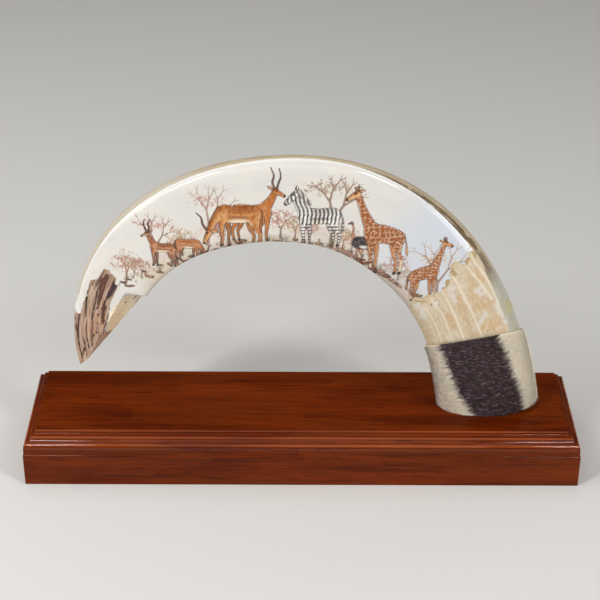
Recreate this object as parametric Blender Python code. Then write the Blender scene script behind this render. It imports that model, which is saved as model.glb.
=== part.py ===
"""An engraved hippo tusk on a moulded wooden base, with a band of zebra hide round its root.

Lengths are in metres and +Z is up. The origin is the middle of the base's underside.
The base runs along X. The tusk rises from the +X end, arches over the base and points down
again at the -X end, with its polished side towards -Y.
"""

import math

import bmesh
import bpy
from mathutils import Vector

# Clearance between pieces that touch
GAP = 0.0003

# Wooden base
BASE_LENGTH = 0.406
BASE_DEPTH = 0.0948
BASE_HEIGHT = 0.0428

# Moulding round the base, from the upper edge of its plain side to its top face
STEP_RUN = 0.0009
STEP_RISE = 0.0004
BAND_HEIGHT = 0.0050
ROUND_RADIUS = 0.0040
LOWER_COVE_RUN = 0.0033
LOWER_COVE_RISE = 0.0026
BEAD_HEIGHT = 0.0013
UPPER_COVE_RUN = 0.0048
UPPER_COVE_RISE = 0.0009
TOP_EDGE_HEIGHT = 0.0028
CURVE_STEPS = 5

# Tusk, measured along its middle line from the base to the tip
TUSK_LENGTH = 0.4759
ROOT_INSET = 0.0650  # from the end of the base to the middle of the root
ROOT_WIDTH = 0.0701  # in the plane of the arch
ROOT_THICKNESS = 0.0368  # from the polished side to the back
HEADINGS = (7.7, 22.9, 47.9, 84.6, 113.6, 154.4, 192.5)  # degrees from upright towards -X
WIDTHS = (1.0, 0.951, 0.939, 0.845, 0.769, 0.673, 0.592)  # shares of the root's width
THICKNESSES = (1.0, 0.946, 0.848, 0.793, 0.761, 0.652)  # shares of the root's thickness
FACE_LEANS = (1.0, 6.0, 12.0, 13.0, 12.0, 10.0)  # degrees that the polished side leans back
BACK_LEAN_RATIO = 1.3
SHARPNESSES = (2.2, 3.0, 5.0, 6.0, 6.0, 5.0)  # 2 is an oval, and higher is a squarer wedge

# Natural ribs that run along the tusk where it isn't polished
RIB_COUNT = 6
RIB_HEIGHT = 0.0005
ROOT_RIBS_END = 0.25  # share of the length where the polished side begins
TIP_RIBS_START = 0.83  # share of the length where the bark at the tip begins
RIB_FADE = 0.03
RIB_CLEARANCE = 0.005  # above the hide

# Worn flats at the tip, each a plane that lies short of the end of the middle line
CHISEL_NORMAL = (0.749, -0.100, -0.655)
CHISEL_SETBACK = 0.0191
BEVEL_NORMAL = (0.68, -0.61, -0.40)
BEVEL_SETBACK = 0.0093
WORN_START = 0.825  # share of the length
WORN_FADE = 0.02
TIP_BLUNTNESS = 0.0008

# Band of hide
HIDE_HEIGHT = 0.0586  # along the middle line of the tusk
HIDE_THICKNESS = 0.0030
HIDE_SIDE_TILT = 11.3  # degrees that its upper edge rises towards the outer side
HIDE_FRONT_TILT = 27.9  # degrees that its upper edge rises towards the polished side

# Fineness of the rounded pieces
TUSK_RINGS = 60
RING_POINTS = 60
HIDE_RINGS = 7
LINE_STEPS = 480  # straight steps in the whole middle line
TIP_SEARCH_STEPS = 500
PLANE_SEARCH_STEPS = 3

LEVEL = Vector((0.0, 0.0, 1.0))
BASE_TOP = BASE_HEIGHT + GAP
ROOT_X = BASE_LENGTH / 2 - ROOT_INSET


def clear_scene():
    for old in list(bpy.data.objects):
        bpy.data.objects.remove(old, do_unlink=True)


def make_material(name, colour, roughness):
    material = bpy.data.materials.new(name)
    material.use_nodes = True
    shader = material.node_tree.nodes["Principled BSDF"]
    shader.inputs["Base Color"].default_value = (*colour, 1.0)
    shader.inputs["Roughness"].default_value = roughness
    shader.inputs["Metallic"].default_value = 0.0
    return material


def add_object(name, bm, material, sharp_angle):
    bmesh.ops.recalc_face_normals(bm, faces=bm.faces[:])
    mesh = bpy.data.meshes.new(name)
    bm.to_mesh(mesh)
    bm.free()
    mesh.shade_smooth()
    mesh.set_sharp_from_angle(angle=math.radians(sharp_angle))
    mesh.materials.append(material)
    piece = bpy.data.objects.new(name, mesh)
    bpy.context.scene.collection.objects.link(piece)
    return piece


def along(values, share):
    """A smooth curve through evenly spaced values, read at a share from 0 to 1."""
    last = len(values) - 1
    place = min(max(share, 0.0), 1.0) * last
    index = min(int(place), last - 1)
    f = place - index
    p1 = values[index]
    p2 = values[index + 1]
    p0 = values[index - 1] if index > 0 else 2 * p1 - p2
    p3 = values[index + 2] if index + 2 <= last else 2 * p2 - p1
    slope = p2 - p0
    bend = 2 * p0 - 5 * p1 + 4 * p2 - p3
    twist = 3 * p1 - p0 - 3 * p2 + p3
    return 0.5 * (2 * p1 + slope * f + bend * f ** 2 + twist * f ** 3)


def fade(value, start, end):
    """Rises smoothly from 0 at start to 1 at end."""
    f = min(max((value - start) / (end - start), 0.0), 1.0)
    return f * f * (3 - 2 * f)


def middle_line(shares):
    """Points of the tusk's middle line at the given shares of its length, the first at 0."""
    x, z = ROOT_X, BASE_TOP
    points = [Vector((x, 0.0, z))]
    for start, end in zip(shares, shares[1:]):
        count = max(1, math.ceil(abs(end - start) * LINE_STEPS))
        step = (end - start) / count
        for k in range(count):
            heading = math.radians(along(HEADINGS, start + (k + 0.5) * step))
            x -= math.sin(heading) * step * TUSK_LENGTH
            z += math.cos(heading) * step * TUSK_LENGTH
        points.append(Vector((x, 0.0, z)))
    return points


def tusk_direction(share):
    heading = math.radians(along(HEADINGS, share))
    return Vector((-math.sin(heading), 0.0, math.cos(heading)))


def tusk_outward(share):
    heading = math.radians(along(HEADINGS, share))
    return Vector((math.cos(heading), 0.0, math.sin(heading)))


def rib_relief(across, share, is_front):
    """Height of the natural ribs, with across from -0.5 at the inner side to 0.5 at the outer."""
    hide_top = HIDE_HEIGHT + math.tan(math.radians(HIDE_FRONT_TILT)) * ROOT_THICKNESS / 2
    hide_share = hide_top / TUSK_LENGTH + RIB_CLEARANCE
    clear_of_hide = fade(share, hide_share, hide_share + RIB_FADE)
    unpolished = clear_of_hide
    if is_front:
        at_root = 1 - fade(share, ROOT_RIBS_END - RIB_FADE, ROOT_RIBS_END)
        at_tip = fade(share, TIP_RIBS_START, TIP_RIBS_START + RIB_FADE)
        unpolished = max(clear_of_hide * at_root, at_tip)
    wave = 0.5 + 0.5 * math.cos(2 * math.pi * RIB_COUNT * across)
    return RIB_HEIGHT * wave * unpolished


def skin_point(share, middle, k, offset=0.0, ribbed=False):
    """Point k of the tusk's outline, square to its middle line.

    The outline is a wedge with rounded corners, thick at the inner side of the arch and thin
    at the outer. Each side stands its own distance from the middle, grown by the offset.
    """
    half_width = ROOT_WIDTH * along(WIDTHS, share) / 2 + offset
    half_thickness = ROOT_THICKNESS * along(THICKNESSES, share) / 2 + offset
    lean = math.radians(along(FACE_LEANS, share))
    sharpness = along(SHARPNESSES, share)
    turn = 2 * math.pi * k / RING_POINTS
    angle = math.atan2(half_thickness * math.sin(turn), half_width * math.cos(turn))
    pull = 0.0
    for facing, distance in (
        (math.pi / 2 - lean, half_thickness),
        (-math.pi / 2 + BACK_LEAN_RATIO * lean, half_thickness),
        (math.pi, half_width),
        (0.0, half_width),
    ):
        pull += max(math.cos(angle - facing) / distance, 0.0) ** sharpness
    radius = pull ** (-1 / sharpness)
    if ribbed:
        across = radius * math.cos(angle) / (2 * half_width)
        radius += rib_relief(across, share, math.sin(angle) > 0)
    forward = Vector((0.0, -1.0, 0.0))
    outward = tusk_outward(share)
    return middle + outward * (radius * math.cos(angle)) + forward * (radius * math.sin(angle))


def square_ring(share, middle):
    """The tusk's outline square to its middle line, with its ribs."""
    return [skin_point(share, middle, k, ribbed=True) for k in range(RING_POINTS)]


def plane_ring(share, normal, offset=0.0):
    """The tusk's outline where a plane through its middle line cuts it, grown by the offset."""
    origin = middle_line([0.0, share])[-1]
    ring = []
    for k in range(RING_POINTS):
        place = share
        for _ in range(PLANE_SEARCH_STEPS):
            point = skin_point(place, middle_line([0.0, place])[-1], k, offset)
            direction = tusk_direction(place)
            shift = (origin - point).dot(normal) / direction.dot(normal)
            place += shift / TUSK_LENGTH
        ring.append(point + direction * shift)
    return ring


def sweep(rings, closed):
    """A skin through rings with the same number of points, capped unless it closes on itself."""
    bm = bmesh.new()
    place = bm.verts.layers.int.new("place")
    count = len(rings[0])
    first = bmesh.ops.create_circle(bm, segments=count, radius=1.0, cap_ends=False)["verts"]
    for k, vert in enumerate(first):
        vert[place] = k
        vert.co = rings[0][k]
    first_edges = bm.edges[:]
    edges = first_edges
    for ring in rings[1:]:
        grown = bmesh.ops.extrude_edge_only(bm, edges=edges)["geom"]
        edges = [item for item in grown if isinstance(item, bmesh.types.BMEdge)]
        for vert in (item for item in grown if isinstance(item, bmesh.types.BMVert)):
            vert.co = ring[vert[place]]
    if closed:
        bmesh.ops.bridge_loops(bm, edges=first_edges + edges)
    else:
        bmesh.ops.contextual_create(bm, geom=first_edges)
        bmesh.ops.contextual_create(bm, geom=edges)
    return bm


def worn_flats(end):
    """The planes worn at the tip, as (point, normal) pairs."""
    flats = []
    for direction, setback in (
        (BEVEL_NORMAL, BEVEL_SETBACK),
        (CHISEL_NORMAL, CHISEL_SETBACK),
    ):
        normal = Vector(direction).normalized()
        flats.append((end - normal * setback, normal))
    return flats


def outer_ridge(share, middle):
    """The point of the tusk's outer side, which the worn flats leave for last."""
    return middle + tusk_outward(share) * ROOT_WIDTH * along(WIDTHS, share) / 2


def wear(points, share, ridge, flats):
    """Draws a ring's points in from beyond the worn flats, towards the outer ridge."""
    strength = fade(share, WORN_START, WORN_START + WORN_FADE)
    worn = []
    for point in points:
        for origin, normal in flats:
            room = (origin - ridge).dot(normal)
            reach = (point - ridge).dot(normal)
            if reach > room:
                point = point.lerp(ridge + (point - ridge) * (room / reach), strength)
        worn.append(point)
    return worn


def moulding():
    """The base's profile as (inset, height) pairs, from the plain side to the top face."""
    rise = STEP_RISE + BAND_HEIGHT + ROUND_RADIUS + LOWER_COVE_RISE
    rise += BEAD_HEIGHT + UPPER_COVE_RISE + TOP_EDGE_HEIGHT
    inset = 0.0
    height = BASE_HEIGHT - rise
    profile = [(inset, height)]
    inset += STEP_RUN
    height += STEP_RISE
    profile.append((inset, height))
    height += BAND_HEIGHT
    quarter = [math.pi / 2 * k / CURVE_STEPS for k in range(CURVE_STEPS + 1)]
    for turn in quarter:
        run = ROUND_RADIUS * (1 - math.cos(turn))
        profile.append((inset + run, height + ROUND_RADIUS * math.sin(turn)))
    inset += ROUND_RADIUS
    height += ROUND_RADIUS
    for run, lift, wall in (
        (LOWER_COVE_RUN, LOWER_COVE_RISE, BEAD_HEIGHT),
        (UPPER_COVE_RUN, UPPER_COVE_RISE, TOP_EDGE_HEIGHT),
    ):
        for turn in quarter[1:]:
            profile.append((inset + run * math.sin(turn), height + lift * (1 - math.cos(turn))))
        inset += run
        height += lift + wall
        profile.append((inset, height))
    return profile


def make_wooden_base():
    """A plain block up to the moulding, then its top face drawn in and raised step by step."""
    profile = moulding()
    plain_height = profile[0][1]
    bm = bmesh.new()
    bmesh.ops.create_cube(bm, size=1.0)
    bmesh.ops.translate(bm, vec=(0.0, 0.0, 0.5), verts=bm.verts[:])
    bmesh.ops.scale(bm, vec=(BASE_LENGTH, BASE_DEPTH, plain_height), verts=bm.verts[:])
    top = [face for face in bm.faces if face.normal.z > 0.5]
    for (inset, height), (next_inset, next_height) in zip(profile, profile[1:]):
        bmesh.ops.inset_region(
            bm, faces=top, thickness=next_inset - inset, depth=next_height - height
        )
    material = make_material("lacquered_wood", (0.165, 0.046, 0.018), 0.22)
    return add_object("wooden_base", bm, material, 25)


def tip_share(flats):
    """The share of the length where the worn flats come through to the outer ridge."""
    shares = [k / TIP_SEARCH_STEPS for k in range(TIP_SEARCH_STEPS + 1)]
    for share, middle in zip(shares, middle_line(shares)):
        ridge = outer_ridge(share, middle)
        room = min((origin - ridge).dot(normal) for origin, normal in flats)
        if share > WORN_START and room < TIP_BLUNTNESS:
            return share
    return 1.0


def make_tusk():
    """The whole tusk: root sawn level with the base, sides swept along the arch, tip worn flat."""
    flats = worn_flats(middle_line([0.0, 1.0])[-1])
    last = tip_share(flats)
    shares = [last * k / TUSK_RINGS for k in range(TUSK_RINGS + 1)]
    rings = [plane_ring(0.0, LEVEL)]
    for share, middle in list(zip(shares, middle_line(shares)))[1:]:
        ring = square_ring(share, middle)
        rings.append(wear(ring, share, outer_ridge(share, middle), flats))
    bm = sweep(rings, closed=False)
    material = make_material("tusk_ivory", (0.80, 0.74, 0.62), 0.25)
    return add_object("tusk", bm, material, 35)


def make_zebra_hide_cuff():
    """A sleeve round the root: level below, and cut off at a tilt above."""
    side_slope = math.tan(math.radians(HIDE_SIDE_TILT))
    front_slope = math.tan(math.radians(HIDE_FRONT_TILT))
    upper = Vector((-side_slope, front_slope, 1.0))
    walls = []
    for offset in (GAP, GAP + HIDE_THICKNESS):
        wall = []
        for k in range(HIDE_RINGS + 1):
            height = k / HIDE_RINGS
            share = height * HIDE_HEIGHT / TUSK_LENGTH
            wall.append(plane_ring(share, LEVEL.lerp(upper, height), offset))
        walls.append(wall)
    inner, outer = walls
    bm = sweep(outer + inner[::-1], closed=True)
    material = make_material("zebra_hide", (0.55, 0.48, 0.36), 0.85)
    return add_object("zebra_hide_cuff", bm, material, 35)


clear_scene()
make_wooden_base()
make_tusk()
make_zebra_hide_cuff()
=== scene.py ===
# %% [markdown]
# # A hippo tusk with an engraved side, on a wooden base
#
# The object has three pieces: a moulded base of lacquered wood, a long curved tusk that rises
# from one end of it and points down again at the other, and a band of zebra hide round the
# root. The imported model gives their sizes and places. This script models each piece again in
# finer mesh, in the same place, and gives it its finish.

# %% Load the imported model
import math

import bmesh
import bpy
import numpy as np
from mathutils import Euler, Matrix, Vector


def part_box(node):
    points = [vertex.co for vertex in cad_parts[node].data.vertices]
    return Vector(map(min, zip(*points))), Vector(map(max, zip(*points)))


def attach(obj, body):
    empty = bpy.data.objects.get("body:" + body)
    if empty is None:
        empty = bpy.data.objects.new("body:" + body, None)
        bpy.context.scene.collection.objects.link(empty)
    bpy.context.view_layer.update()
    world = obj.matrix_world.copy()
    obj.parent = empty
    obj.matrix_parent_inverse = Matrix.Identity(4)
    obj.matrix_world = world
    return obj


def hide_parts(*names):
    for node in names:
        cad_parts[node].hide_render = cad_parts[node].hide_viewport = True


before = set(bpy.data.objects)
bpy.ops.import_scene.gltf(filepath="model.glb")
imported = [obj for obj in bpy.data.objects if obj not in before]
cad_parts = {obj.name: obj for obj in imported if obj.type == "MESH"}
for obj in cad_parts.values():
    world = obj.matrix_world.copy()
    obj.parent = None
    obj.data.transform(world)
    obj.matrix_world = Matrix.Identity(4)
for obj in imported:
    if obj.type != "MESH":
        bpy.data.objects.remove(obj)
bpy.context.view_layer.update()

MM = 1000.0  # millimetres in a metre

base_low, base_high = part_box("wooden_base")
print("base", [round(MM * side, 1) for side in base_high - base_low], "mm")

# %% [markdown]
# ## Shader maths
#
# A finish is a formula: a colour here, more gloss there, a groove where a noise is low.
# Blender's shader nodes can say all of it, but a long formula is hard to read as nodes. A
# small class wraps one output of a node and lets Python's own operators add Math nodes, so
# that `1 - mask` is one node. Any other node comes from its method `node`. Colours are typed
# as they look on screen, 0 to 255, and `layered` lays them one over another like thin paint.


# %% A wire between shader nodes
class Wire:
    """An output of a shader node, or a bare node tree, on which formulas are built."""

    def __init__(self, tree, output=None):
        self.tree = tree
        self.output = output

    def node(self, kind, settings=None, inputs=None, output=0):
        """Add a node: its settings first, then its sockets' values or links."""
        node = self.tree.nodes.new(kind)
        for name, value in (settings or {}).items():
            setattr(node, name, value)
        for name, value in (inputs or {}).items():
            if isinstance(value, Wire):
                self.tree.links.new(value.output, node.inputs[name])
            else:
                node.inputs[name].default_value = value
        return Wire(self.tree, node.outputs[output] if len(node.outputs) else None)

    def maths(self, operation, *values):
        return self.node("ShaderNodeMath", {"operation": operation}, dict(enumerate(values)))

    def __add__(self, other):
        return self.maths("ADD", self, other)

    def __sub__(self, other):
        return self.maths("SUBTRACT", self, other)

    def __rsub__(self, other):
        return self.maths("SUBTRACT", other, self)

    def __mul__(self, other):
        return self.maths("MULTIPLY", self, other)

    __radd__ = __add__
    __rmul__ = __mul__

    def rise(self, low, high):
        """0 up to low, 1 from high, smooth between. With low above high it falls."""
        settings = {"interpolation_type": "SMOOTHSTEP"}
        inputs = {0: self, 1: low, 2: high, 3: 0.0, 4: 1.0}
        if low > high:
            inputs = {0: self, 1: high, 2: low, 3: 1.0, 4: 0.0}
        return self.node("ShaderNodeMapRange", settings, inputs)

    def blend(self, first, second):
        """Mix two colours, each a wire or typed, with this wire as the share of the second."""
        first, second = (c if isinstance(c, Wire) else tint(*c) for c in (first, second))
        inputs = {0: self, 6: first, 7: second}
        return self.node("ShaderNodeMix", {"data_type": "RGBA"}, inputs, 2)

    def part(self, axis):
        """One part of this vector: 0, 1 or 2 for x, y or z."""
        return self.node("ShaderNodeSeparateXYZ", {}, {"Vector": self}, axis)

    def stretched(self, x, y, z):
        """This vector with its three parts multiplied, so that a pattern on it is stretched."""
        settings = {"operation": "MULTIPLY"}
        return self.node("ShaderNodeVectorMath", settings, {0: self, 1: (x, y, z)})

    def noise(self, scale, detail=3.0, roughness=0.5, distortion=0.0):
        inputs = {"Vector": self, "Scale": scale, "Detail": detail}
        inputs.update({"Roughness": roughness, "Distortion": distortion})
        return self.node("ShaderNodeTexNoise", {}, inputs)

    def bump(self, distance, strength):
        inputs = {"Height": self, "Distance": distance, "Strength": strength}
        return self.node("ShaderNodeBump", {}, inputs)

    def place(self):
        """Where a point of the piece is, in metres."""
        return self.node("ShaderNodeTexCoord", {}, {}, "Object")

    def stored(self, name, output="Fac"):
        """A value that the mesh keeps for each of its points."""
        return self.node("ShaderNodeAttribute", {"attribute_name": name}, {}, output)


# %% Colours and materials
def tint(red, green, blue):
    """A colour as it looks on screen, 0 to 255, in the shaders' linear numbers."""
    parts = [part / 255 for part in (red, green, blue)]
    linear = [p / 12.92 if p <= 0.04045 else ((p + 0.055) / 1.055) ** 2.4 for p in parts]
    return (*linear, 1.0)


def layered(colour, *rows):
    """Lay colours one over another: a row is a mask, its strength and the colour laid."""
    for mask, strength, laid in rows:
        colour = (mask * strength).blend(colour, laid)
    return colour


def start_material(name):
    material = bpy.data.materials.new(name)
    material.use_nodes = True
    material.node_tree.nodes.clear()
    return material, Wire(material.node_tree)


def finish_material(bench, inputs):
    shader = bench.node("ShaderNodeBsdfPrincipled", {}, inputs)
    bench.node("ShaderNodeOutputMaterial", {}, {"Surface": shader})


# %% [markdown]
# ## Camera, floor and light
#
# The camera looks down on the front at about 31 degrees, from some 1.2 metres away, with a
# long lens. Its place was worked out from the corners of the base. The floor is one plain pale
# sheet. Seven lamps light the object: large soft ones overhead, in front, at the right and
# twice at the left, where the far one reaches the bark at the tip, and two tall narrow ones
# that put sharp highlights on the ends of the moulding. The world is dark, because the lacquer
# mirrors it: a bright sky would veil the wood's deep colour with grey. Colours go to the
# screen with the Standard view, so that a colour read off the real finish can be typed in.

# %% Camera
CAMERA_PLACE = (-0.00832, -0.9847, 0.7333)
CAMERA_LOOKS_DOWN = 31.473  # degrees, as the next two
CAMERA_YAW = -0.3696
CAMERA_ROLL = 0.4203
LENS_LENGTH, SENSOR_WIDTH = 96.48, 36.0  # mm


def add_object(name, data, place=Matrix()):
    thing = bpy.data.objects.new(name, data)
    thing.matrix_world = place
    bpy.context.scene.collection.objects.link(thing)
    return thing


camera_data = bpy.data.cameras.new("camera")
camera_data.lens = LENS_LENGTH
camera_data.sensor_width = SENSOR_WIDTH
turn = Euler((0, 0, math.radians(CAMERA_YAW))).to_matrix()
turn = turn @ Euler((math.radians(90 - CAMERA_LOOKS_DOWN), 0, 0)).to_matrix()
turn = turn @ Euler((0, 0, math.radians(CAMERA_ROLL))).to_matrix()
camera_place = Matrix.Translation(CAMERA_PLACE) @ turn.to_4x4()
bpy.context.scene.camera = add_object("camera", camera_data, camera_place)
print("camera", round(Vector(CAMERA_PLACE).length, 2), "m from the base's middle")

# %% Floor
FLOOR_RADIUS, FLOOR_SEGMENTS = 8.0, 64

bm = bmesh.new()
bmesh.ops.create_circle(bm, cap_ends=True, segments=FLOOR_SEGMENTS, radius=FLOOR_RADIUS)
floor_mesh = bpy.data.meshes.new("floor")
bm.to_mesh(floor_mesh)
bm.free()
floor = add_object("floor", floor_mesh)
floor_material, bench = start_material("floor")
finish_material(bench, {"Base Color": tint(224, 222, 218), "Roughness": 0.9})
floor_mesh.materials.append(floor_material)
print("floor", 2 * FLOOR_RADIUS, "m across")

# %% Lights
LIGHTS = {
    # name: (place, watts, width, height), in metres
    "overhead": ((-0.15, 0.35, 2.0), 11.0, 2.0, 2.0),
    "left": ((-1.15, -0.75, 0.85), 6.8, 0.7, 0.7),
    "far_left": ((-1.25, -0.10, 0.55), 3.6, 0.6, 0.6),
    "right": ((1.25, -0.75, 0.45), 6.6, 0.6, 0.6),
    "front": ((0.0, -1.9, 1.75), 6.5, 1.8, 0.5),
    "left_strip": ((-0.76, -0.78, 1.25), 5.6, 0.06, 0.5),
    "right_strip": ((0.80, -0.78, 1.25), 5.4, 0.06, 0.5),
}
LIGHTS_AIM = Vector((0.0, 0.0, 0.1))
WORLD_COLOUR, WORLD_STRENGTH = (120, 118, 116), 0.5

for name, (place, watts, width, height) in LIGHTS.items():
    light_data = bpy.data.lights.new(name, "AREA")
    light_data.energy = watts
    light_data.shape = "RECTANGLE"
    light_data.size = width
    light_data.size_y = height
    aim = (LIGHTS_AIM - Vector(place)).to_track_quat("-Z", "Y")
    add_object(name, light_data, Matrix.Translation(place) @ aim.to_matrix().to_4x4())

world = bpy.data.worlds.new("studio")
world.use_nodes = True
background = world.node_tree.nodes["Background"]
background.inputs["Color"].default_value = tint(*WORLD_COLOUR)
background.inputs["Strength"].default_value = WORLD_STRENGTH
bpy.context.scene.world = world
bpy.context.scene.view_settings.view_transform = "Standard"
print("lights", list(LIGHTS))

# %% [markdown]
# ## The wooden base
#
# The base is one block of reddish hardwood with a moulding cut round its upper edge: a step
# and a small band, a quarter round, then two coves with a bead between them. It could be a
# profile swept round a rectangle, but the corners of a cut moulding are mitred, and an inset
# makes mitres by itself. So a cube's top face is drawn in and raised step by step along the
# profile. Every sharp edge is then rounded a little, because lacquer never keeps an edge
# sharp, and the small rounding is what catches the light. Last, the big flat faces are inset
# by a narrow margin. Smooth shading bends only inside the margin then, and the rest of the
# face mirrors as flat as it is.


# %% Help for new pieces
KINDS = {1: ("FLOAT", "value"), 3: ("FLOAT_VECTOR", "vector"), 4: ("FLOAT_COLOR", "color")}


def fade(value, start, end):
    """Rises smoothly from 0 at start to 1 at end, for a number or an array."""
    part = np.clip((value - start) / (end - start), 0.0, 1.0)
    return part * part * (3 - 2 * part)


def add_piece(name, bm, sharp_angle):
    """Make an object of a bmesh, shaded smooth up to an angle in degrees."""
    mesh = bpy.data.meshes.new(name)
    bm.to_mesh(mesh)
    bm.free()
    mesh.shade_smooth()
    mesh.set_sharp_from_angle(angle=math.radians(sharp_angle))
    return add_object(name, mesh)


def place_piece(piece, material, node=None):
    """Finish a piece: its material, the model's one body and the node it replaces."""
    piece.data.materials.append(material)
    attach(piece, "root")
    if node:
        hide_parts(node)
    piece.data.calc_loop_triangles()
    print(piece.name, len(piece.data.loop_triangles), "triangles")


def read_numbers(piece, name):
    """The whole number that a piece keeps for each point."""
    values = np.empty(len(piece.data.vertices), np.int32)
    piece.data.attributes[name].data.foreach_get("value", values)
    return values


def read_points(piece):
    points = np.empty(3 * len(piece.data.vertices))
    piece.data.vertices.foreach_get("co", points)
    return points.reshape(-1, 3)


def move_points(piece, points):
    piece.data.vertices.foreach_set("co", points.astype(np.float32).ravel())
    piece.data.update()


def keep(piece, name, values):
    """Store a number, a vector or a colour for every point of a piece."""
    kind, field = KINDS[values.size // len(values)]
    attribute = piece.data.attributes.new(name, kind, "POINT")
    attribute.data.foreach_set(field, values.astype(np.float32).ravel())


# %% Profile of the moulding
BASE_LENGTH, BASE_DEPTH, BASE_HEIGHT = (high - low for high, low in zip(base_high, base_low))
STEP_RUN, STEP_RISE = 0.0009, 0.0004
BAND_HEIGHT = 0.0050
ROUND_RADIUS = 0.0040
LOWER_COVE_RUN, LOWER_COVE_RISE = 0.0033, 0.0026
BEAD_HEIGHT = 0.0013
UPPER_COVE_RUN, UPPER_COVE_RISE = 0.0048, 0.0009
TOP_EDGE_HEIGHT = 0.0028
CURVE_STEPS = 9


def moulding():
    """The profile as (inset, height) pairs, from the plain side to the top face."""
    rise = STEP_RISE + BAND_HEIGHT + ROUND_RADIUS + LOWER_COVE_RISE
    rise += BEAD_HEIGHT + UPPER_COVE_RISE + TOP_EDGE_HEIGHT
    height = BASE_HEIGHT - rise
    profile = [(0.0, height), (STEP_RUN, height + STEP_RISE)]
    height += STEP_RISE + BAND_HEIGHT
    quarter = [math.pi / 2 * k / CURVE_STEPS for k in range(CURVE_STEPS + 1)]
    for turn in quarter:
        run = ROUND_RADIUS * (1 - math.cos(turn))
        profile.append((STEP_RUN + run, height + ROUND_RADIUS * math.sin(turn)))
    inset = STEP_RUN + ROUND_RADIUS
    height += ROUND_RADIUS
    for run, lift, wall in (
        (LOWER_COVE_RUN, LOWER_COVE_RISE, BEAD_HEIGHT),
        (UPPER_COVE_RUN, UPPER_COVE_RISE, TOP_EDGE_HEIGHT),
    ):
        for turn in quarter[1:]:
            place = (inset + run * math.sin(turn), height + lift * (1 - math.cos(turn)))
            profile.append(place)
        inset += run
        height += lift + wall
        profile.append((inset, height))
    return profile


profile = moulding()
BAND_TOP = profile[2][1]  # where the small band ends and the quarter round begins
print(len(profile), "points in the moulding")

# %% Base mesh
CRISP_ANGLE, SHADED_ANGLE = 28, 40  # degrees
EDGE_EASE = 0.00055
FLAT_AREA = 0.00045  # a face larger than this, in square metres, is a big flat one
FLAT_MARGIN = 0.0002

bm = bmesh.new()
bmesh.ops.create_cube(bm, size=1.0)
bmesh.ops.translate(bm, vec=(0.0, 0.0, 0.5), verts=bm.verts[:])
bmesh.ops.scale(bm, vec=(BASE_LENGTH, BASE_DEPTH, profile[0][1]), verts=bm.verts[:])
top = [face for face in bm.faces if face.normal.z > 0.5]
for (inset, height), (next_inset, next_height) in zip(profile, profile[1:]):
    bmesh.ops.inset_region(
        bm, faces=top, thickness=next_inset - inset, depth=next_height - height
    )
bm.normal_update()
crisp = [edge for edge in bm.edges if edge.calc_face_angle(0) > math.radians(CRISP_ANGLE)]
bmesh.ops.bevel(
    bm, geom=crisp, offset=EDGE_EASE, offset_type="OFFSET", affect="EDGES",
    segments=2, profile=0.5, material=-1, clamp_overlap=True,
)
flat_faces = [face for face in bm.faces if face.calc_area() > FLAT_AREA]
bmesh.ops.inset_individual(bm, faces=flat_faces, thickness=FLAT_MARGIN, use_even_offset=True)
bmesh.ops.recalc_face_normals(bm, faces=bm.faces[:])
base = add_piece("moulded_base", bm, SHADED_ANGLE)
print(len(crisp), "edges eased,", len(flat_faces), "flat faces inset")

# %% [markdown]
# ## Lacquered hardwood
#
# The wood is a deep reddish brown with its grain along the base. Long thin streaks of darker
# and more orange wood run in it, with short dark pores, and the block is glued up from
# staves, so that straight-edged patches differ a little in colour. Three noises stretched
# along the grain give the streaks, one more gives the pores, and rectangular cells give the
# staves. A paler orange is painted along the moulding's edges as a painted highlight, where
# the lamps would glint on them: each edge lies at its own height, so a thin level line is
# coloured there. Over all of it lies a clear lacquer: a coat with its own sharp highlights,
# thicker on the moulding, above wood that is duller, and a faint unevenness that breaks up
# long highlights.

# %% Base finish
EDGE_HIGHLIGHT_DROPS = (0.0009, 0.0045, 0.0085)  # how far the moulding's edges lie below the top
GRAIN_SWAY = 0.006

wood, bench = start_material("lacquered_wood")
place = bench.place()
across_grain, height_in_wood = place.part(1), place.part(2)
sway = (place.stretched(2.0, 9.0, 9.0).noise(1.0, 2.0) - 0.5) * GRAIN_SWAY
swaying = {0: place.part(0), 1: across_grain + sway, 2: height_in_wood + sway}
grain_place = bench.node("ShaderNodeCombineXYZ", {}, swaying)
broad = grain_place.stretched(7.0, 80.0, 80.0).noise(1.0, 3.0, 0.55)
fine = grain_place.stretched(22.0, 520.0, 520.0).noise(1.0, 4.0, 0.6)
pores = grain_place.stretched(55.0, 900.0, 900.0).noise(1.0, 2.0, 0.5)
dark_streak = grain_place.stretched(9.0, 210.0, 210.0).noise(1.0, 2.0)
cells = {"Vector": place.stretched(9.0, 42.0, 42.0), "Scale": 1.0, "Randomness": 0.85}
stave = bench.node("ShaderNodeTexVoronoi", {"distance": "CHEBYCHEV"}, cells, "Color")
stave_tone = bench.node("ShaderNodeSeparateColor", {}, {"Color": stave})
colour = layered(
    broad.rise(0.25, 0.75).blend((83, 25, 1), (124, 47, 5)),
    (fine.rise(0.35, 0.75), 0.5, (64, 18, 2)),
    (stave_tone.rise(0.2, 0.8), 0.35, (118, 51, 10)),
    (dark_streak.rise(0.58, 0.72), 0.45, (42, 14, 3)),
    (pores.rise(0.58, 0.68), 0.5, (36, 12, 3)),
)
# Painted highlight: a paler orange line on each of the moulding's rounded edges, where the lamps
# would glint
for drop in EDGE_HIGHLIGHT_DROPS:
    off_edge = bench.maths("ABSOLUTE", height_in_wood - (BASE_HEIGHT - drop))
    painted_edge_highlight = off_edge.rise(0.0008, 0.0003) * broad.rise(0.25, 0.65)
    colour = layered(colour, (painted_edge_highlight, 0.65, (176, 84, 26)))
unevenness = place.stretched(45.0, 70.0, 70.0).noise(1.0, 1.0)
above_band = height_in_wood.rise(BAND_TOP - 0.0008, BAND_TOP)
below_top = height_in_wood.rise(BASE_HEIGHT - 0.0001, BASE_HEIGHT - 0.0006)
on_moulding = above_band * below_top
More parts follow.
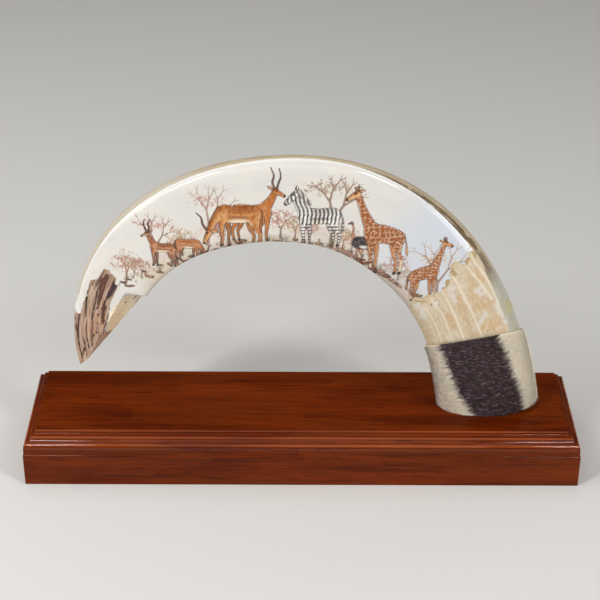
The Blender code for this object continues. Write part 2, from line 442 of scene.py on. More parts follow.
height = fine * 0.5 + pores * 0.4 + unevenness * 1.5
finish_material(
    bench,
    {
        "Base Color": colour,
        "Roughness": broad * 0.12 + 0.34,
        "Specular IOR Level": 0.02,
        "Coat Weight": on_moulding * 0.45 + 0.22,
        "Coat Roughness": 0.05,
        "Normal": height.bump(0.00012, 0.5),
    },
)
place_piece(base, wood, "wooden_base")

# %% [markdown]
# ## The tusk's form
#
# The tusk is swept along a middle line: a row of headings, read on a smooth curve, says which
# way it points at each share of its length, and small steps in those directions give the
# line. Square to the line its outline is a wedge with soft corners, thicker at the inner side
# of the arch. The formula takes four flat sides at their own distances from the middle, and
# blends them with a power: 2 gives an oval, as at the root, and 6 a squarer wedge. It works
# on whole arrays of numbers, so that the tusk can have a hundred thousand points.

# %% Middle line of the tusk
GAP = 0.0003
TUSK_LENGTH = 0.4759
ROOT_INSET = 0.0650  # from the end of the base to the middle of the root
HEADINGS = (7.7, 22.9, 47.9, 84.6, 113.6, 154.4, 192.5)  # degrees from upright towards -X
LINE_STEPS = 2400
ROOT_PLACE = (base_high.x - ROOT_INSET, base_high.z + GAP)


def along(stations, share):
    """Read evenly spaced values anywhere between them, on a smooth curve."""
    first = 2 * stations[0] - stations[1]
    last = 2 * stations[-1] - stations[-2]
    row = np.array([first, *stations, last])
    place = np.clip(share, 0.0, 1.0 - 1e-9) * (len(stations) - 1)
    index = place.astype(int)
    f = place - index
    a, b, c, d = (row[index + k] for k in range(4))
    return 0.5 * (2 * b + (c - a) * f + (2 * a - 5 * b + 4 * c - d) * f ** 2
                  + (3 * b - a - 3 * c + d) * f ** 3)


line_shares = np.linspace(0.0, 1.0, LINE_STEPS + 1)
step_headings = np.radians(along(HEADINGS, (line_shares[1:] + line_shares[:-1]) / 2))
step_length = TUSK_LENGTH / LINE_STEPS
line_x = ROOT_PLACE[0] - np.append(0.0, np.cumsum(np.sin(step_headings))) * step_length
line_z = ROOT_PLACE[1] + np.append(0.0, np.cumsum(np.cos(step_headings))) * step_length
print("arch top", round(MM * float(line_z.max()), 1), "mm")

# %% Outline of the tusk
ROOT_WIDTH, ROOT_THICKNESS = 0.0701, 0.0368
WIDTHS = (1.0, 0.951, 0.939, 0.845, 0.769, 0.673, 0.592)  # shares of the root's width
THICKNESSES = (1.0, 0.946, 0.848, 0.793, 0.761, 0.652)  # shares of the root's thickness
FACE_LEANS = (1.0, 6.0, 12.0, 13.0, 12.0, 10.0)  # degrees that the polished side leans back
BACK_LEAN_RATIO = 1.3
SHARPNESSES = (2.2, 3.0, 5.0, 6.0, 6.0, 5.0)
SEARCH_ROUNDS = 6


def outline(share, turn, offset=0.0):
    """How far out and how far forward of the middle line the skin is, at a turn round it."""
    half_width = ROOT_WIDTH * along(WIDTHS, share) / 2 + offset
    half_thickness = ROOT_THICKNESS * along(THICKNESSES, share) / 2 + offset
    lean = np.radians(along(FACE_LEANS, share))
    sharpness = along(SHARPNESSES, share)
    angle = np.arctan2(half_thickness * np.sin(turn), half_width * np.cos(turn))
    pull = 0.0
    for facing, distance in (
        (np.pi / 2 - lean, half_thickness),
        (-np.pi / 2 + BACK_LEAN_RATIO * lean, half_thickness),
        (np.pi, half_width),
        (0.0, half_width),
    ):
        pull = pull + np.maximum(np.cos(angle - facing) / distance, 0.0) ** sharpness
    radius = pull ** (-1 / sharpness)
    return radius * np.cos(angle), radius * np.sin(angle)


def to_world(share, out, forward):
    """Turn a place square to the middle line into world coordinates."""
    heading = np.radians(along(HEADINGS, share))
    x = np.interp(share, line_shares, line_x) + out * np.cos(heading)
    z = np.interp(share, line_shares, line_z) + out * np.sin(heading)
    return np.stack([x, -forward, z], axis=-1)


def cut_level(share, turn, normal, offset=0.0):
    """Shares at which the skin meets a plane through the middle line, at each turn."""
    origin = to_world(share, 0.0 * turn, 0.0 * turn)
    place = share + 0.0 * turn
    for _ in range(SEARCH_ROUNDS):
        point = to_world(place, *outline(place, turn, offset))
        heading = np.radians(along(HEADINGS, place))
        pace = -np.sin(heading) * normal[..., 0] + np.cos(heading) * normal[..., 2]
        place = place + ((origin - point) * normal).sum(-1) / pace / TUSK_LENGTH
    return place


# %% [markdown]
# ## The tusk's worn tip
#
# In life this tooth ground against its neighbour, which wore two slanting flats at the tip.
# Each flat is a plane a little short of the middle line's end. Points beyond a plane are drawn
# back to it, straight towards the outer ridge of the tusk, and the last ring is where the
# planes reach that ridge.

# %% Worn flats
# The way each flat faces, and how far it lies short of the line's end
FLATS = (((0.68, -0.61, -0.40), 0.0093), ((0.749, -0.100, -0.655), 0.0191))
WORN_START, WORN_FADE = 0.825, 0.020  # shares of the length
TIP_BLUNTNESS = 0.0008
TIP_SEARCH_STEPS = 2000

line_end = np.array([line_x[-1], 0.0, line_z[-1]])
flats = []
for direction, setback in FLATS:
    normal = np.array(direction) / np.linalg.norm(direction)
    flats.append((line_end - normal * setback, normal))


def outer_ridge(share):
    return to_world(share, ROOT_WIDTH * along(WIDTHS, share) / 2, 0.0 * share)


def wear(points, share):
    """Draw points in from beyond the worn flats, towards the outer ridge."""
    ridge = outer_ridge(share)
    strength = fade(share, WORN_START, WORN_START + WORN_FADE)[..., None]
    for origin, normal in flats:
        room = ((origin - ridge) @ normal)[..., None]
        reach = ((points - ridge) @ normal)[..., None]
        pulled = ridge + (points - ridge) * room / np.where(reach > room, reach, 1.0)
        points = points + np.where(reach > room, (pulled - points) * strength, 0.0)
    return points


search = np.linspace(WORN_START, 1.0, TIP_SEARCH_STEPS)
rooms = [(origin - outer_ridge(search)) @ normal for origin, normal in flats]
tip_share = float(search[np.argmax(np.min(rooms, axis=0) < TIP_BLUNTNESS)])
print("tip at share", round(tip_share, 3))

# %% [markdown]
# ## Rings and columns
#
# The fine mesh is a grid rolled into a tube, welded along its seam. The picture on the
# polished side will be stored in the mesh's points, so they stand about half a millimetre
# apart there, and further apart on the back and under the hide. Each point remembers its ring
# and its column, so that all places can be worked out at once and set in one call.

# %% Places of the rings and columns
# From a share of the length, to a share, and how many rings between them
RING_STRETCHES = ((0.0, 0.11, 12), (0.11, 0.225, 74), (0.225, 0.83, 500), (0.83, tip_share, 76))
COLUMNS = 148
BACK_SPACING = 4.2  # columns on the back are this many times further apart
BACK_LIMIT = -0.08  # the back is where the sine of the turn is below this
OUTLINE_STEPS = 4001

ring_shares = np.concatenate(
    [np.linspace(low, high, count, endpoint=False) for low, high, count in RING_STRETCHES]
)
ring_shares = np.append(ring_shares, tip_share)
even_turns = np.linspace(0.0, 2 * np.pi, OUTLINE_STEPS)
out, forward = outline(0.5 + 0.0 * even_turns, even_turns)
paces = np.hypot(np.diff(out), np.diff(forward))
middle_turns = (even_turns[1:] + even_turns[:-1]) / 2
paces[np.sin(middle_turns) < BACK_LIMIT] /= BACK_SPACING
lengths = np.append(0.0, np.cumsum(paces))
column_turns = np.interp(np.arange(COLUMNS) / COLUMNS * lengths[-1], lengths, even_turns)
print(COLUMNS, "columns and", len(ring_shares), "rings")

# %% Fine tube
last_ring = len(ring_shares) - 1
bm = bmesh.new()
ring_layer = bm.verts.layers.int.new("ring")
column_layer = bm.verts.layers.int.new("column")
to_counts = Matrix.Diagonal((COLUMNS / 2, last_ring / 2, 1.0, 1.0))
to_counts = Matrix.Translation((COLUMNS / 2, last_ring / 2, 0.0)) @ to_counts
bmesh.ops.create_grid(
    bm, x_segments=COLUMNS, y_segments=last_ring, size=1.0, matrix=to_counts
)
for vert in bm.verts:
    vert[column_layer] = round(vert.co.x) % COLUMNS
    vert[ring_layer] = round(vert.co.y)
    turn = 2 * math.pi * vert[column_layer] / COLUMNS
    # Forward is towards -Y, as in to_world, so the faces that point out here stay so
    vert.co = (math.cos(turn), -math.sin(turn), vert[ring_layer])
seam = [vert for vert in bm.verts if vert[column_layer] == 0]
bmesh.ops.remove_doubles(bm, verts=seam, dist=0.0001)
for ring in (0, last_ring):
    rim = [edge for edge in bm.edges if all(vert[ring_layer] == ring for vert in edge.verts)]
    bmesh.ops.contextual_create(bm, geom=rim)
bmesh.ops.recalc_face_normals(bm, faces=bm.faces[:])
tusk = add_piece("engraved_tusk", bm, 180)
rings, columns = read_numbers(tusk, "ring"), read_numbers(tusk, "column")
count = len(rings)
print(count, "points in the tube")

# %% [markdown]
# ## Zones of the skin
#
# The front is ground flat and polished, from a jagged edge at the root, where the ribs of the
# natural skin reach into it like fingers, to the brown bark at the tip. Its outer border is
# the natural rim. Each zone is kept as a distance in millimetres from its border, above zero
# inside, so that shaders can draw a crisp edge from it at any width.

# %% Borders of the zones
# Across the tusk, 0 is the middle, 0.5 the outer edge and -0.5 the inner edge
FINGERS = (
    # across the tusk, width, and the share of the length that the finger reaches
    (0.405, 0.075, 0.266), (0.345, 0.07, 0.263), (0.285, 0.055, 0.259), (0.205, 0.11, 0.27),
    (0.13, 0.06, 0.262), (0.05, 0.075, 0.254), (-0.03, 0.07, 0.247), (-0.12, 0.09, 0.246),
    (-0.23, 0.12, 0.25), (-0.345, 0.11, 0.257), (-0.45, 0.12, 0.24),
)
FINGERS_BEGIN, FINGER_BOW, FINGER_BLUNTNESS = 0.215, 0.030, 2.6
RIM_LIMITS = (0.45, 0.45, 0.455, 0.440, 0.462, 0.488, 0.491, 0.487, 0.475, 0.470, 0.46, 0.46)
# The edges of the bark: its top as (across, share), its sides as (share, across)
BARK_TOP = (
    (-0.06, 0.833), (0.03, 0.83), (0.042, 0.8215), (0.15, 0.8195), (0.162, 0.8165), (0.262, 0.818),
    (0.28, 0.838), (0.34, 0.842), (0.41, 0.852),
)
BARK_RIGHT = ((0.82, -0.02), (0.835, -0.035), (0.866, -0.028), (0.915, -0.06), (0.928, -0.60))
BARK_LEFT = ((0.82, 0.36), (0.88, 0.36), (0.897, 0.40), (0.905, 0.52), (0.93, 0.60))
RIM_INSIDE = (
    (0.146, 0.39), (0.186, 0.394), (0.214, 0.406), (0.238, 0.432), (0.258, 0.45), (0.3, 0.43),
)
FRONT_DEPTH = 2.0  # mm behind the middle at which the polished side ends
FAR = 9.0  # mm, for what lies out of reach


def read(table, at):
    """Read a table of (place, value) pairs anywhere between its places."""
    return np.interp(at, *np.array(table, float).T)


# %% Distances from the borders
shares = ring_shares[rings]
turns = column_turns[columns]
root_shares = cut_level(np.zeros(COLUMNS), column_turns, np.array([0.0, 0.0, 1.0]))
shares = shares + root_shares[columns] * (1 - fade(shares, 0.0, 0.10))
out, forward = outline(np.maximum(shares, -0.05), turns)
on_front = forward > 0
widths = ROOT_WIDTH * along(WIDTHS, shares)
across = out / widths

finger_reach = np.full(count, FINGERS_BEGIN)
for middle, width, reach in FINGERS:
    bow = FINGER_BOW * np.abs((across - middle) / width) ** FINGER_BLUNTNESS
    finger_reach = np.maximum(finger_reach, reach - bow)
bark = np.minimum.reduce([
    (shares - read(BARK_TOP, across)) * TUSK_LENGTH,
    (across - read(BARK_RIGHT, shares)) * widths,
    (read(BARK_LEFT, shares) - across) * widths,
]) * MM
polished = np.minimum.reduce([
    (shares - finger_reach) * TUSK_LENGTH * MM,
    (along(RIM_LIMITS, shares) - across) * widths * MM,
    forward * MM + FRONT_DEPTH,
    -bark,
])
marks = {
    "polished": polished, "bark": bark,
    "rim": (across - read(RIM_INSIDE, shares)) * widths * MM,
}
print("polished points", int((polished > 0).sum()), "bark points", int((bark > 0).sum()))

# %% [markdown]
# ## Cracks in the bark
#
# The bark at the tip is split along the tusk by dark cracks, and three plates of it are deep
# brown or purple. Cracks and plates are strokes: rows of places with radii, in millimetres
# along the tusk and out from its middle line. The distance from every point of the mesh to
# such a stroke serves twice, for the groove's depth and for its colour. The chip at the outer
# edge and the notch at the inner one are made from distances in the same way. The worn corner,
# the hole of the nerve and the small marks round it lie on the flats, so they are typed as
# they are seen from the front.


# %% Strokes on the skin
NOTHING_NEAR = 1e3  # mm, the distance before any stroke is measured


def stroke(x, z, path):
    """Distance in mm from a stroke through (x, z, radius) places, below zero inside it."""
    path = np.array(path, float)
    if len(path) > 2:
        steps = np.linspace(0.0, 1.0, 3 * (len(path) - 1) + 1)
        path = np.stack([along(list(path[:, k]), steps) for k in range(3)], axis=1)
    nearest = np.full(len(x), NOTHING_NEAR)
    for (ax, az, ar), (bx, bz, br) in zip(path, path[1:]):
        run, lift = bx - ax, bz - az
        part = ((x - ax) * run + (z - az) * lift) / (run * run + lift * lift + 1e-9)
        part = np.clip(part, 0.0, 1.0)
        gap = np.hypot(x - ax - part * run, z - az - part * lift)
        nearest = np.minimum(nearest, gap - ar - part * (br - ar))
    return nearest


def nearest_stroke(x, z, paths):
    return np.minimum.reduce([stroke(x, z, path) for path in paths])


# %% Marks at the tip
# (along the tusk, out from its middle line, radius), in mm
CRACKS = (
    ((403, 18.4, 0.3), (411.2, 16.5, 0.8), (419.7, 14.9, 0.5), (431, 13.2, 0.3), (452, 11, 0.35)),
    ((404, 10.4, 0.3), (415, 9, 0.45), (425.5, 8.9, 0.4), (437.8, 8.4, 0.3), (451, 8.2, 0.3)),
    ((410, -1.6, 0.2), (419.7, -2, 0.4), (428.3, -1.6, 0.3), (436, -0.4, 0.3)),
    ((426, 18.2, 0.25), (441.6, 18.4, 0.5), (453.1, 18.1, 0.45), (462, 17, 0.3)),
    ((432, 20.9, 0.2), (438.8, 19.8, 0.35), (447, 18.8, 0.2)),
    ((392, 12.4, 0.2), (399, 11.8, 0.4), (407, 12.6, 0.2)),
    ((395, 17.7, 0.3), (399, 15.2, 0.45), (404, 14.8, 0.3)),
    ((444, 14.8, 0.2), (452.1, 13.9, 0.5), (458.8, 16.6, 0.5)),
    ((424.5, 5.3, 0.6), (424.7, 5.3, 0.6)), ((431.2, 4.5, 0.5), (431.4, 4.5, 0.5)),
    ((438.8, 4.8, 0.7), (439.2, 5, 0.6)), ((441.6, 6.9, 0.6), (442, 7, 0.5)),
)
BROWN_PLATES = (
    ((393, 8.6, 1.5), (397, 8.6, 2), (402.6, 7.9, 2.2), (410.2, 7, 1.6), (419.5, 6.2, 0.8)),
    ((411, 2.2, 0.9), (415.9, 2.4, 1.4), (425.5, 1.7, 1.3), (431, 0.9, 0.6)),
)
PURPLE_PLATES = (((393.4, 0.6, 1.5), (399, 0.9, 1.9), (405, 1.4, 1.5), (410, 1.8, 1)),)
CHIP = (((415, 24, 1.2), (419, 23, 2), (424, 21.4, 2.2), (427, 19, 1.2)),)
NOTCH = (((437.5, -3.4, 1.2), (440.2, -1.2, 0.8)),)
# (x, z, radius), in mm seen from the front
NERVE_HOLE = (-126.4, 132.6)
WORN_CORNER = (((-124, 132, 4.6), (-128.5, 123, 5.4), (-134.5, 113.5, 4.6), (-139, 108.5, 1.8)),)
BARE_TAN = (
    ((-133.5, 129.5, 2.2), (-136.5, 122, 1.9), (-138, 114, 1.4)),
    ((-131.5, 131.5, 1.4), (-127.5, 137, 1.8), (-121, 137.6, 1.4)),
)
EDGE_GLEAM = (
    ((-146.1, 100.9, 0.3), (-151.6, 94.2, 0.5), (-156.6, 86.6, 0.5), (-161.6, 78.6, 0.4)),
)
SMEAR = (((-121.5, 132, 0.4), (-117.5, 135.5, 0.9), (-112, 141, 0.5)),)

skin_x, skin_z = shares * TUSK_LENGTH * MM, out * MM
for name, paths in (
    ("crack", CRACKS), ("brown_plate", BROWN_PLATES), ("purple_plate", PURPLE_PLATES),
):
    marks[name] = np.where(on_front, nearest_stroke(skin_x, skin_z, paths), FAR)
for name, paths in (("chip", CHIP), ("notch", NOTCH)):
    marks[name] = nearest_stroke(skin_x, skin_z, paths)
print(len(CRACKS), "cracks and spots,", len(BROWN_PLATES + PURPLE_PLATES), "plates")

# %% [markdown]
# ## Ribs and patches of the root
#
# Between the hide and the polished side the natural enamel shows: low pale ribs that run along
# the tusk, with tan, olive and chalky white patches between them and a few brown dots. A noise
# alone would spread such patches evenly, but here each has its own place, so they are short
# strokes too, in the same millimetres as the cracks. The shader frays their edges later.

# %% Ribs and patches
RIBS = (
    ((133, 30, 0.1), (122, 25.5, 0.35), (114.2, 25.5, 0.5), (102.8, 26.3, 0.6), (85.7, 25.5, 0.3)),
    ((126, 18.8, 0.2), (115.2, 20, 0.4), (105.6, 21.1, 0.5), (90, 22.8, 0.3)),
    ((124.5, 7, 0.3), (115.2, 7.8, 0.6), (102.8, 6.8, 0.8), (89.5, 6.8, 0.6), (60, 6.6, 0.3)),
    ((117, -3.6, 0.2), (99, -4.8, 0.5), (83.8, -5.4, 0.7), (60, -6.4, 0.5)),
    ((115, -13.2, 0.1), (98, -12.2, 0.3), (80, -13.4, 0.35), (60, -14.2, 0.2)),
    ((113, -21, 0.1), (96, -20.2, 0.25), (60, -22, 0.2)),
)
ORANGE_PATCHES = (
    ((114.5, 22.9, 2), (106.6, 23.6, 2.4)), ((94.3, 16.2, 2.6), (86.6, 20.6, 4)),
    ((104.5, 4, 2), (92.3, 1.9, 3.4), (82, 1.2, 1.4)), ((112, 17.6, 1.5), (105.6, 18.2, 2.2)),
    ((100.9, 10.9, 2.2), (90.4, 11, 3)), ((73.3, 12.2, 4), (74.2, 20.3, 4.6)),
    ((78.1, -1.6, 1.6), (71.3, 1.9, 2.2)), ((96, -9, 1.6), (84, -9.6, 2.6)),
)
OLIVE_PATCHES = (
    ((127.6, 30.4, 2.2), (121.8, 28.2, 1.2)), ((124.7, 23, 1.9), (122.8, 21.4, 1.5)),
    ((127.5, 11.6, 0.9), (120.9, 10, 1.7)), ((119.6, 3.4, 1.9), (117.1, -0.6, 1.1)),
    ((115.2, -18.7, 0.8), (119.9, -23.7, 0.7)), ((81, 31.2, 1.6), (75, 31.6, 2.2)),
)
WHITE_PATCHES = (
    ((101.5, 17.8, 2.4), (98, 18.6, 2.2)), ((113.3, 2.1, 1.8), (103.7, -0.4, 1.5)),
    ((115.2, -24.2, 2.6), (106.6, -23.8, 2.4), (99, -24.5, 1)),
    ((84.8, 24.9, 2.2), (71.3, 25.6, 2)), ((83.8, 14.9, 1.3), (77, 6.9, 1.1)),
    ((112, -12, 1.6), (106, -13, 1.2)),
)
BROWN_DOTS = (
    ((109.5, -15.4, 0.5), (109.8, -15, 0.5)), ((106.6, -11.6, 0.4), (106.8, -11.3, 0.4)),
    ((111.4, -11.9, 0.4), (111.7, -11.7, 0.4)), ((108.5, -9.5, 0.35), (108.8, -9.3, 0.3)),
    ((124.7, 9.6, 0.4), (124.2, 9.2, 0.4)),
)

rib = nearest_stroke(skin_x, skin_z, RIBS)
for name, paths in (
    ("orange_patch", ORANGE_PATCHES), ("olive_patch", OLIVE_PATCHES),
    ("white_patch", WHITE_PATCHES), ("brown_dot", BROWN_DOTS),
):
    marks[name] = nearest_stroke(skin_x, skin_z, paths)
print(len(RIBS), "ribs on the front")

# %% [markdown]
# ## Relief of the skin
#
# The natural skin stands a little above the polished side, its ribs stand above it again, and
# cracks, plates, chip, notch and hole are sunk. Each is some tenths of a millimetre, too
# little to model by hand and too much for bump alone, because it shows on the outline. So the
# distances are faded into one lift for every point, the points are moved square to the middle
# line by it, and the worn flats are cut last.

# %% Lift of the skin
BACK_RIBS = (-0.36, -0.24, -0.12, 0.02, 0.20, 0.325)  # across the tusk, middle 0
BACK_RIB_SHARE, BACK_RIB_WIDTH = 0.6, 0.8
SKIN_STEP = 0.00022  # how far the natural skin stands above the polished side
RIB_LIFT, CRACK_DEPTH, PLATE_DEPTH = 0.00018, 0.00045, 0.00025
CHIP_DEPTH, NOTCH_DEPTH, HOLE_DEPTH = 0.0006, 0.0010, 0.0009

clear_of_hide = fade(shares, 0.13, 0.16)
natural = 1 - fade(polished, -0.5, 0.3)
rib_line = np.zeros(count)
for middle in BACK_RIBS:
    sway = 0.006 * np.sin(shares * 90 + middle * 40)
    near = np.abs(across - middle - sway) * widths * MM
    on_rib = BACK_RIB_SHARE * np.exp(-(near / BACK_RIB_WIDTH) ** 2)
    rib_line = np.maximum(rib_line, on_rib)
rib_line = np.where(on_front, 1 - fade(rib, -0.2, 0.6), rib_line)
in_bark = fade(bark, -0.3, 0.5)
lift = clear_of_hide * natural * (SKIN_STEP + RIB_LIFT * rib_line * (1 - in_bark))
lift -= CRACK_DEPTH * (1 - fade(marks["crack"], -0.3, 0.5)) * in_bark
plate = np.minimum(marks["brown_plate"], marks["purple_plate"])
lift -= PLATE_DEPTH * (1 - fade(plate, -0.4, 0.4)) * in_bark
lift -= CHIP_DEPTH * (1 - fade(marks["chip"], -1.0, 0.4))
lift -= NOTCH_DEPTH * (1 - fade(marks["notch"], -0.8, 0.6)) * on_front
scale = 1 + lift / np.hypot(out, forward)
points = wear(to_world(shares, out * scale, forward * scale), shares)
print("lift from", round(MM * lift.min(), 2), "to", round(MM * lift.max(), 2), "mm")

# %% Marks on the worn flats
TIP_BEGINS = 0.80  # share of the length

front_x, front_z = points[:, 0] * MM, points[:, 2] * MM
at_tip = shares > TIP_BEGINS
hole = np.hypot(front_x - NERVE_HOLE[0], front_z - NERVE_HOLE[1])
marks["hole"] = np.where(on_front, hole, FAR)
for name, paths, where in (
    ("corner", WORN_CORNER + BARE_TAN, at_tip),
    ("gleam", EDGE_GLEAM, on_front & at_tip),
    ("smear", SMEAR, on_front & at_tip),
):
    marks[name] = np.where(where, nearest_stroke(front_x, front_z, paths), FAR)
points[:, 1] += HOLE_DEPTH * (1 - fade(marks["hole"], 0.3, 1.1))
move_points(tusk, points)

for name, values in marks.items():
    keep(tusk, name, np.clip(values, -FAR, FAR))
keep(tusk, "rib_line", rib_line)
keep(tusk, "across", across)
keep(tusk, "skin_place", np.stack([shares * TUSK_LENGTH, out, forward], axis=-1))
print("kept for each point:", ", ".join(marks))

# %% [markdown]
# ## The picture on the polished side
#
# The polished side carries an engraved and coloured scene. Here it is a plain savanna of no
# one in particular's design: antelopes, a zebra, an ostrich, two giraffes, thorn trees and
# stones, in tawny, rust and mauve inks. Engravers build an animal from strokes that swell and
# thin, and the script does the same: a stroke is a row of places with radii, in millimetres
# seen from the front, and its distance from every point of the mesh is worked out at once.
# Strokes that melt into each other make a body. The distance also gives the shading and the
# ink line.

# %% Canvas
PICTURE_SEED = 11
TABLE_SIDE = 64
POLISHED_WHITE = (238, 230, 214)
BARE_INK = 2.0  # mm from an ink line that counts as bare
# x, z of the ground that the animals stand on, seen from the front
GROUND = (
    (-135, 150), (-112, 163), (-95, 172), (-75, 181), (-50, 189), (-25, 192), (0, 191), (22, 187),
    (42, 177), (60, 163), (78, 149), (92, 138), (112, 128),
)

canvas = np.flatnonzero((polished > -1.0) & on_front)
canvas_x, canvas_z = points[canvas, 0] * MM, points[canvas, 2] * MM
paint = np.zeros((len(canvas), 4))
paint[:, :3] = tint(*POLISHED_WHITE)[:3]
ink = np.full(len(canvas), BARE_INK)
picture_random = np.random.default_rng(PICTURE_SEED)
speckle_table = picture_random.uniform(0.0, 1.0, (TABLE_SIDE, TABLE_SIDE))
print("picture on", len(canvas), "points")


# %% Brushes
def speckle(x, z, width, height):
    """A smooth random value from 0 to 1 over the picture, with cells of this size in mm."""
    u, v = x / width, z / height
    i, j = np.floor(u).astype(int), np.floor(v).astype(int)
    f, g = u - i, v - j
    f, g = f * f * (3 - 2 * f), g * g * (3 - 2 * g)
    corners = [
        speckle_table[(i + a) % TABLE_SIDE, (j + b) % TABLE_SIDE] for a in (0, 1) for b in (0, 1)
    ]
    low = corners[0] * (1 - g) + corners[1] * g
    high = corners[2] * (1 - g) + corners[3] * g
    return low * (1 - f) + high * f


def melt(first, second, softness):
    """Join two distances so that the shapes flow into each other."""
    part = np.clip(0.5 + 0.5 * (second - first) / softness, 0.0, 1.0)
    return second + (first - second) * part - softness * part * (1 - part)


def lay(where, distance, colour, outlined=True, strength=1.0, softness=0.25):
    """Paint a colour inside a distance, over what is there, with an ink line round it."""
    cover = strength * (1 - fade(distance, -softness, softness))
    colour = np.broadcast_to(colour, (len(where), 3))
    paint[where, :3] += (colour - paint[where, :3]) * cover[:, None]
    paint[where, 3] = np.maximum(paint[where, 3], cover)
    if outlined:
        ink[where] = np.where(distance < 0, -distance, np.minimum(ink[where], distance))


def ground(x):
    return float(read(GROUND, x))


def spot(x, lift, reach, low, high, scale=1.0, facing=1):
    """The canvas near a place on the ground: x, z in the drawing's own mm, and the points."""
    own_x = (canvas_x - x) / scale * facing
    own_z = (canvas_z - (ground(x) + lift)) / scale
    where = np.flatnonzero((np.abs(own_x) < reach) & (own_z > low) & (own_z < high))
    return own_x[where], own_z[where], where


def colours(*rows):
    return [np.array(tint(*row)[:3]) for row in rows]


# %% [markdown]
# ## Animals in strokes
#
# Each kind of animal is a short table: body strokes that melt together, far legs, near legs,
# and small parts. It stands on the origin, faces left, and can be mirrored, scaled and moved.
# Light falls from the upper left, so that the skin is paler where its edge faces there and
# deeper below, and fine hair runs over it. A giraffe gets a net of pale lines between its
# patches, a zebra gets its stripes, and an antelope a pale belly with a dark band above it.

# %% Antelopes and the zebra
ANTELOPE = {
    "far": (
        ((-7.5, 17, 2.2), (-6.4, 9.8, 1), (-6.7, 5, 0.75), (-6.1, 0.9, 0.65)),
        ((6.5, 17.5, 3.2), (7.2, 10.8, 1.4), (9, 7.4, 0.9), (8.1, 0.9, 0.65)),
    ),
    "body": (
        ((-8.6, 21, 5.5), (-2, 20.2, 5.1), (5.5, 20.8, 4.9), (9.3, 21.4, 4.2)),
        ((-10.6, 17, 2.5), (-10.9, 10.2, 1.25), (-10.4, 5.8, 0.9), (-10.8, 0.9, 0.75)),
        ((8.8, 18.5, 4.2), (10.6, 11.8, 1.7), (12.8, 8, 1.05), (11.9, 0.9, 0.8)),
    ),
    "neck": (((-10, 24, 3.9), (-13.6, 29, 2.7), (-15.9, 33.4, 2.1)),),
    "head": (((-16.4, 35, 2.2), (-19.6, 33.5, 1.6), (-22.6, 31.8, 1.05)),),
    "ears": (((-15, 35.8, 0.5), (-12.9, 37.3, 1), (-11.3, 38, 0.3)),),
    "horns": (
        ((-17.8, 36.6, 0.65), (-18.9, 41, 0.55), (-20.4, 45, 0.45), (-19.2, 50, 0.25)),
        ((-16.2, 36.9, 0.8), (-14.6, 41, 0.65), (-15.6, 45.6, 0.5), (-13.4, 50.6, 0.25)),
    ),
    "tail": (((13.2, 23, 0.7), (14.8, 18.6, 0.7), (14.4, 14.6, 0.4)),),
    "eye": (-18, 35.3),
    "nose": (-23, 31.7),
}
GRAZING = dict(
    ANTELOPE,
    neck=(((-11, 22, 3.7), (-15.4, 16.4, 2.5), (-18.2, 10.2, 1.9)),),
    head=(((-18.6, 8.6, 2), (-20.3, 5.2, 1.5), (-21.6, 2, 1)),),
    ears=(((-17.4, 9.6, 0.5), (-14.9, 9.9, 1), (-13.4, 9.4, 0.3)),),
    horns=(((-20.1, 10.2, 0.7), (-22.6, 13.4, 0.6), (-23.4, 17.4, 0.45), (-26.4, 20.4, 0.25)),),
    eye=(-19.8, 8.3),
    nose=(-21.9, 1.7),
)
ZEBRA = dict(
    ANTELOPE,
    neck=(((-10, 24, 4.6), (-13.2, 29, 3.4), (-15.6, 32.8, 2.5)),),
    head=(((-16.2, 34, 2.4), (-19.4, 31, 1.8), (-21.8, 28.6, 1.4)),),
    ears=(((-15.4, 36.2, 0.7), (-14.8, 38.6, 0.9), (-14.4, 40.2, 0.3)),),
    horns=(),
    tail=(
        ((13, 23, 0.6), (14.9, 18.6, 0.5), (14.8, 13.6, 1), (14.6, 10, 0.5)),
        ((-6.4, 28.4, 1), (-9.8, 32.6, 1.3), (-13.2, 36.8, 1.1)),
    ),
    eye=(-17.6, 34.4),
    nose=(-22.2, 28.2),
)

# %% Giraffe
GIRAFFE = {
    "far": (
        ((-5.6, 23, 2.3), (-5.1, 14, 1.25), (-5.7, 7, 0.95), (-5.5, 0.9, 0.85)),
        ((5.6, 21.5, 3), (5.6, 13.2, 1.35), (7.3, 8.6, 1), (6.6, 0.9, 0.85)),
    ),
    "body": (
        ((-7, 27.6, 6), (0, 26.6, 5.8), (7.6, 24.2, 5)),
        ((-8.4, 24, 2.9), (-8.8, 15, 1.45), (-8.4, 8, 1.05), (-8.8, 0.9, 0.95)),
        ((8.2, 22, 3.9), (8.9, 14, 1.65), (10.6, 9, 1.15), (9.7, 0.9, 0.95)),
        ((-8.6, 31, 4.3), (-12.6, 40, 2.8), (-16.4, 50.6, 2)),
    ),
    "neck": (),
    "head": (((-17, 52.6, 2.2), (-20.6, 50.8, 1.5), (-23.4, 49.2, 1.05)),),
    "ears": (((-15.6, 53.6, 0.4), (-13.8, 54.6, 0.8), (-12.4, 54.9, 0.25)),),
    "horns": (((-18, 54, 0.5), (-18.3, 56.3, 0.7)), ((-16.6, 54.4, 0.5), (-16.4, 56.9, 0.7))),
    "tail": (((12.2, 25.6, 0.6), (13.6, 19.6, 0.4), (13.9, 15.4, 0.9), (14.1, 12.2, 0.5)),),
    "eye": (-18.3, 52.9),
    "nose": (-23.7, 49.2),
}

# %% Coats of the animals
TAWNY_COAT = ((190, 116, 60), (226, 176, 122), (112, 56, 30))  # its fur, pale and deep
INK_BROWN, INK_BLACK, CREAM = (84, 46, 30), (40, 30, 28), (240, 228, 206)
BODY_SOFTNESS = 1.6
NET_CELL = 3.1


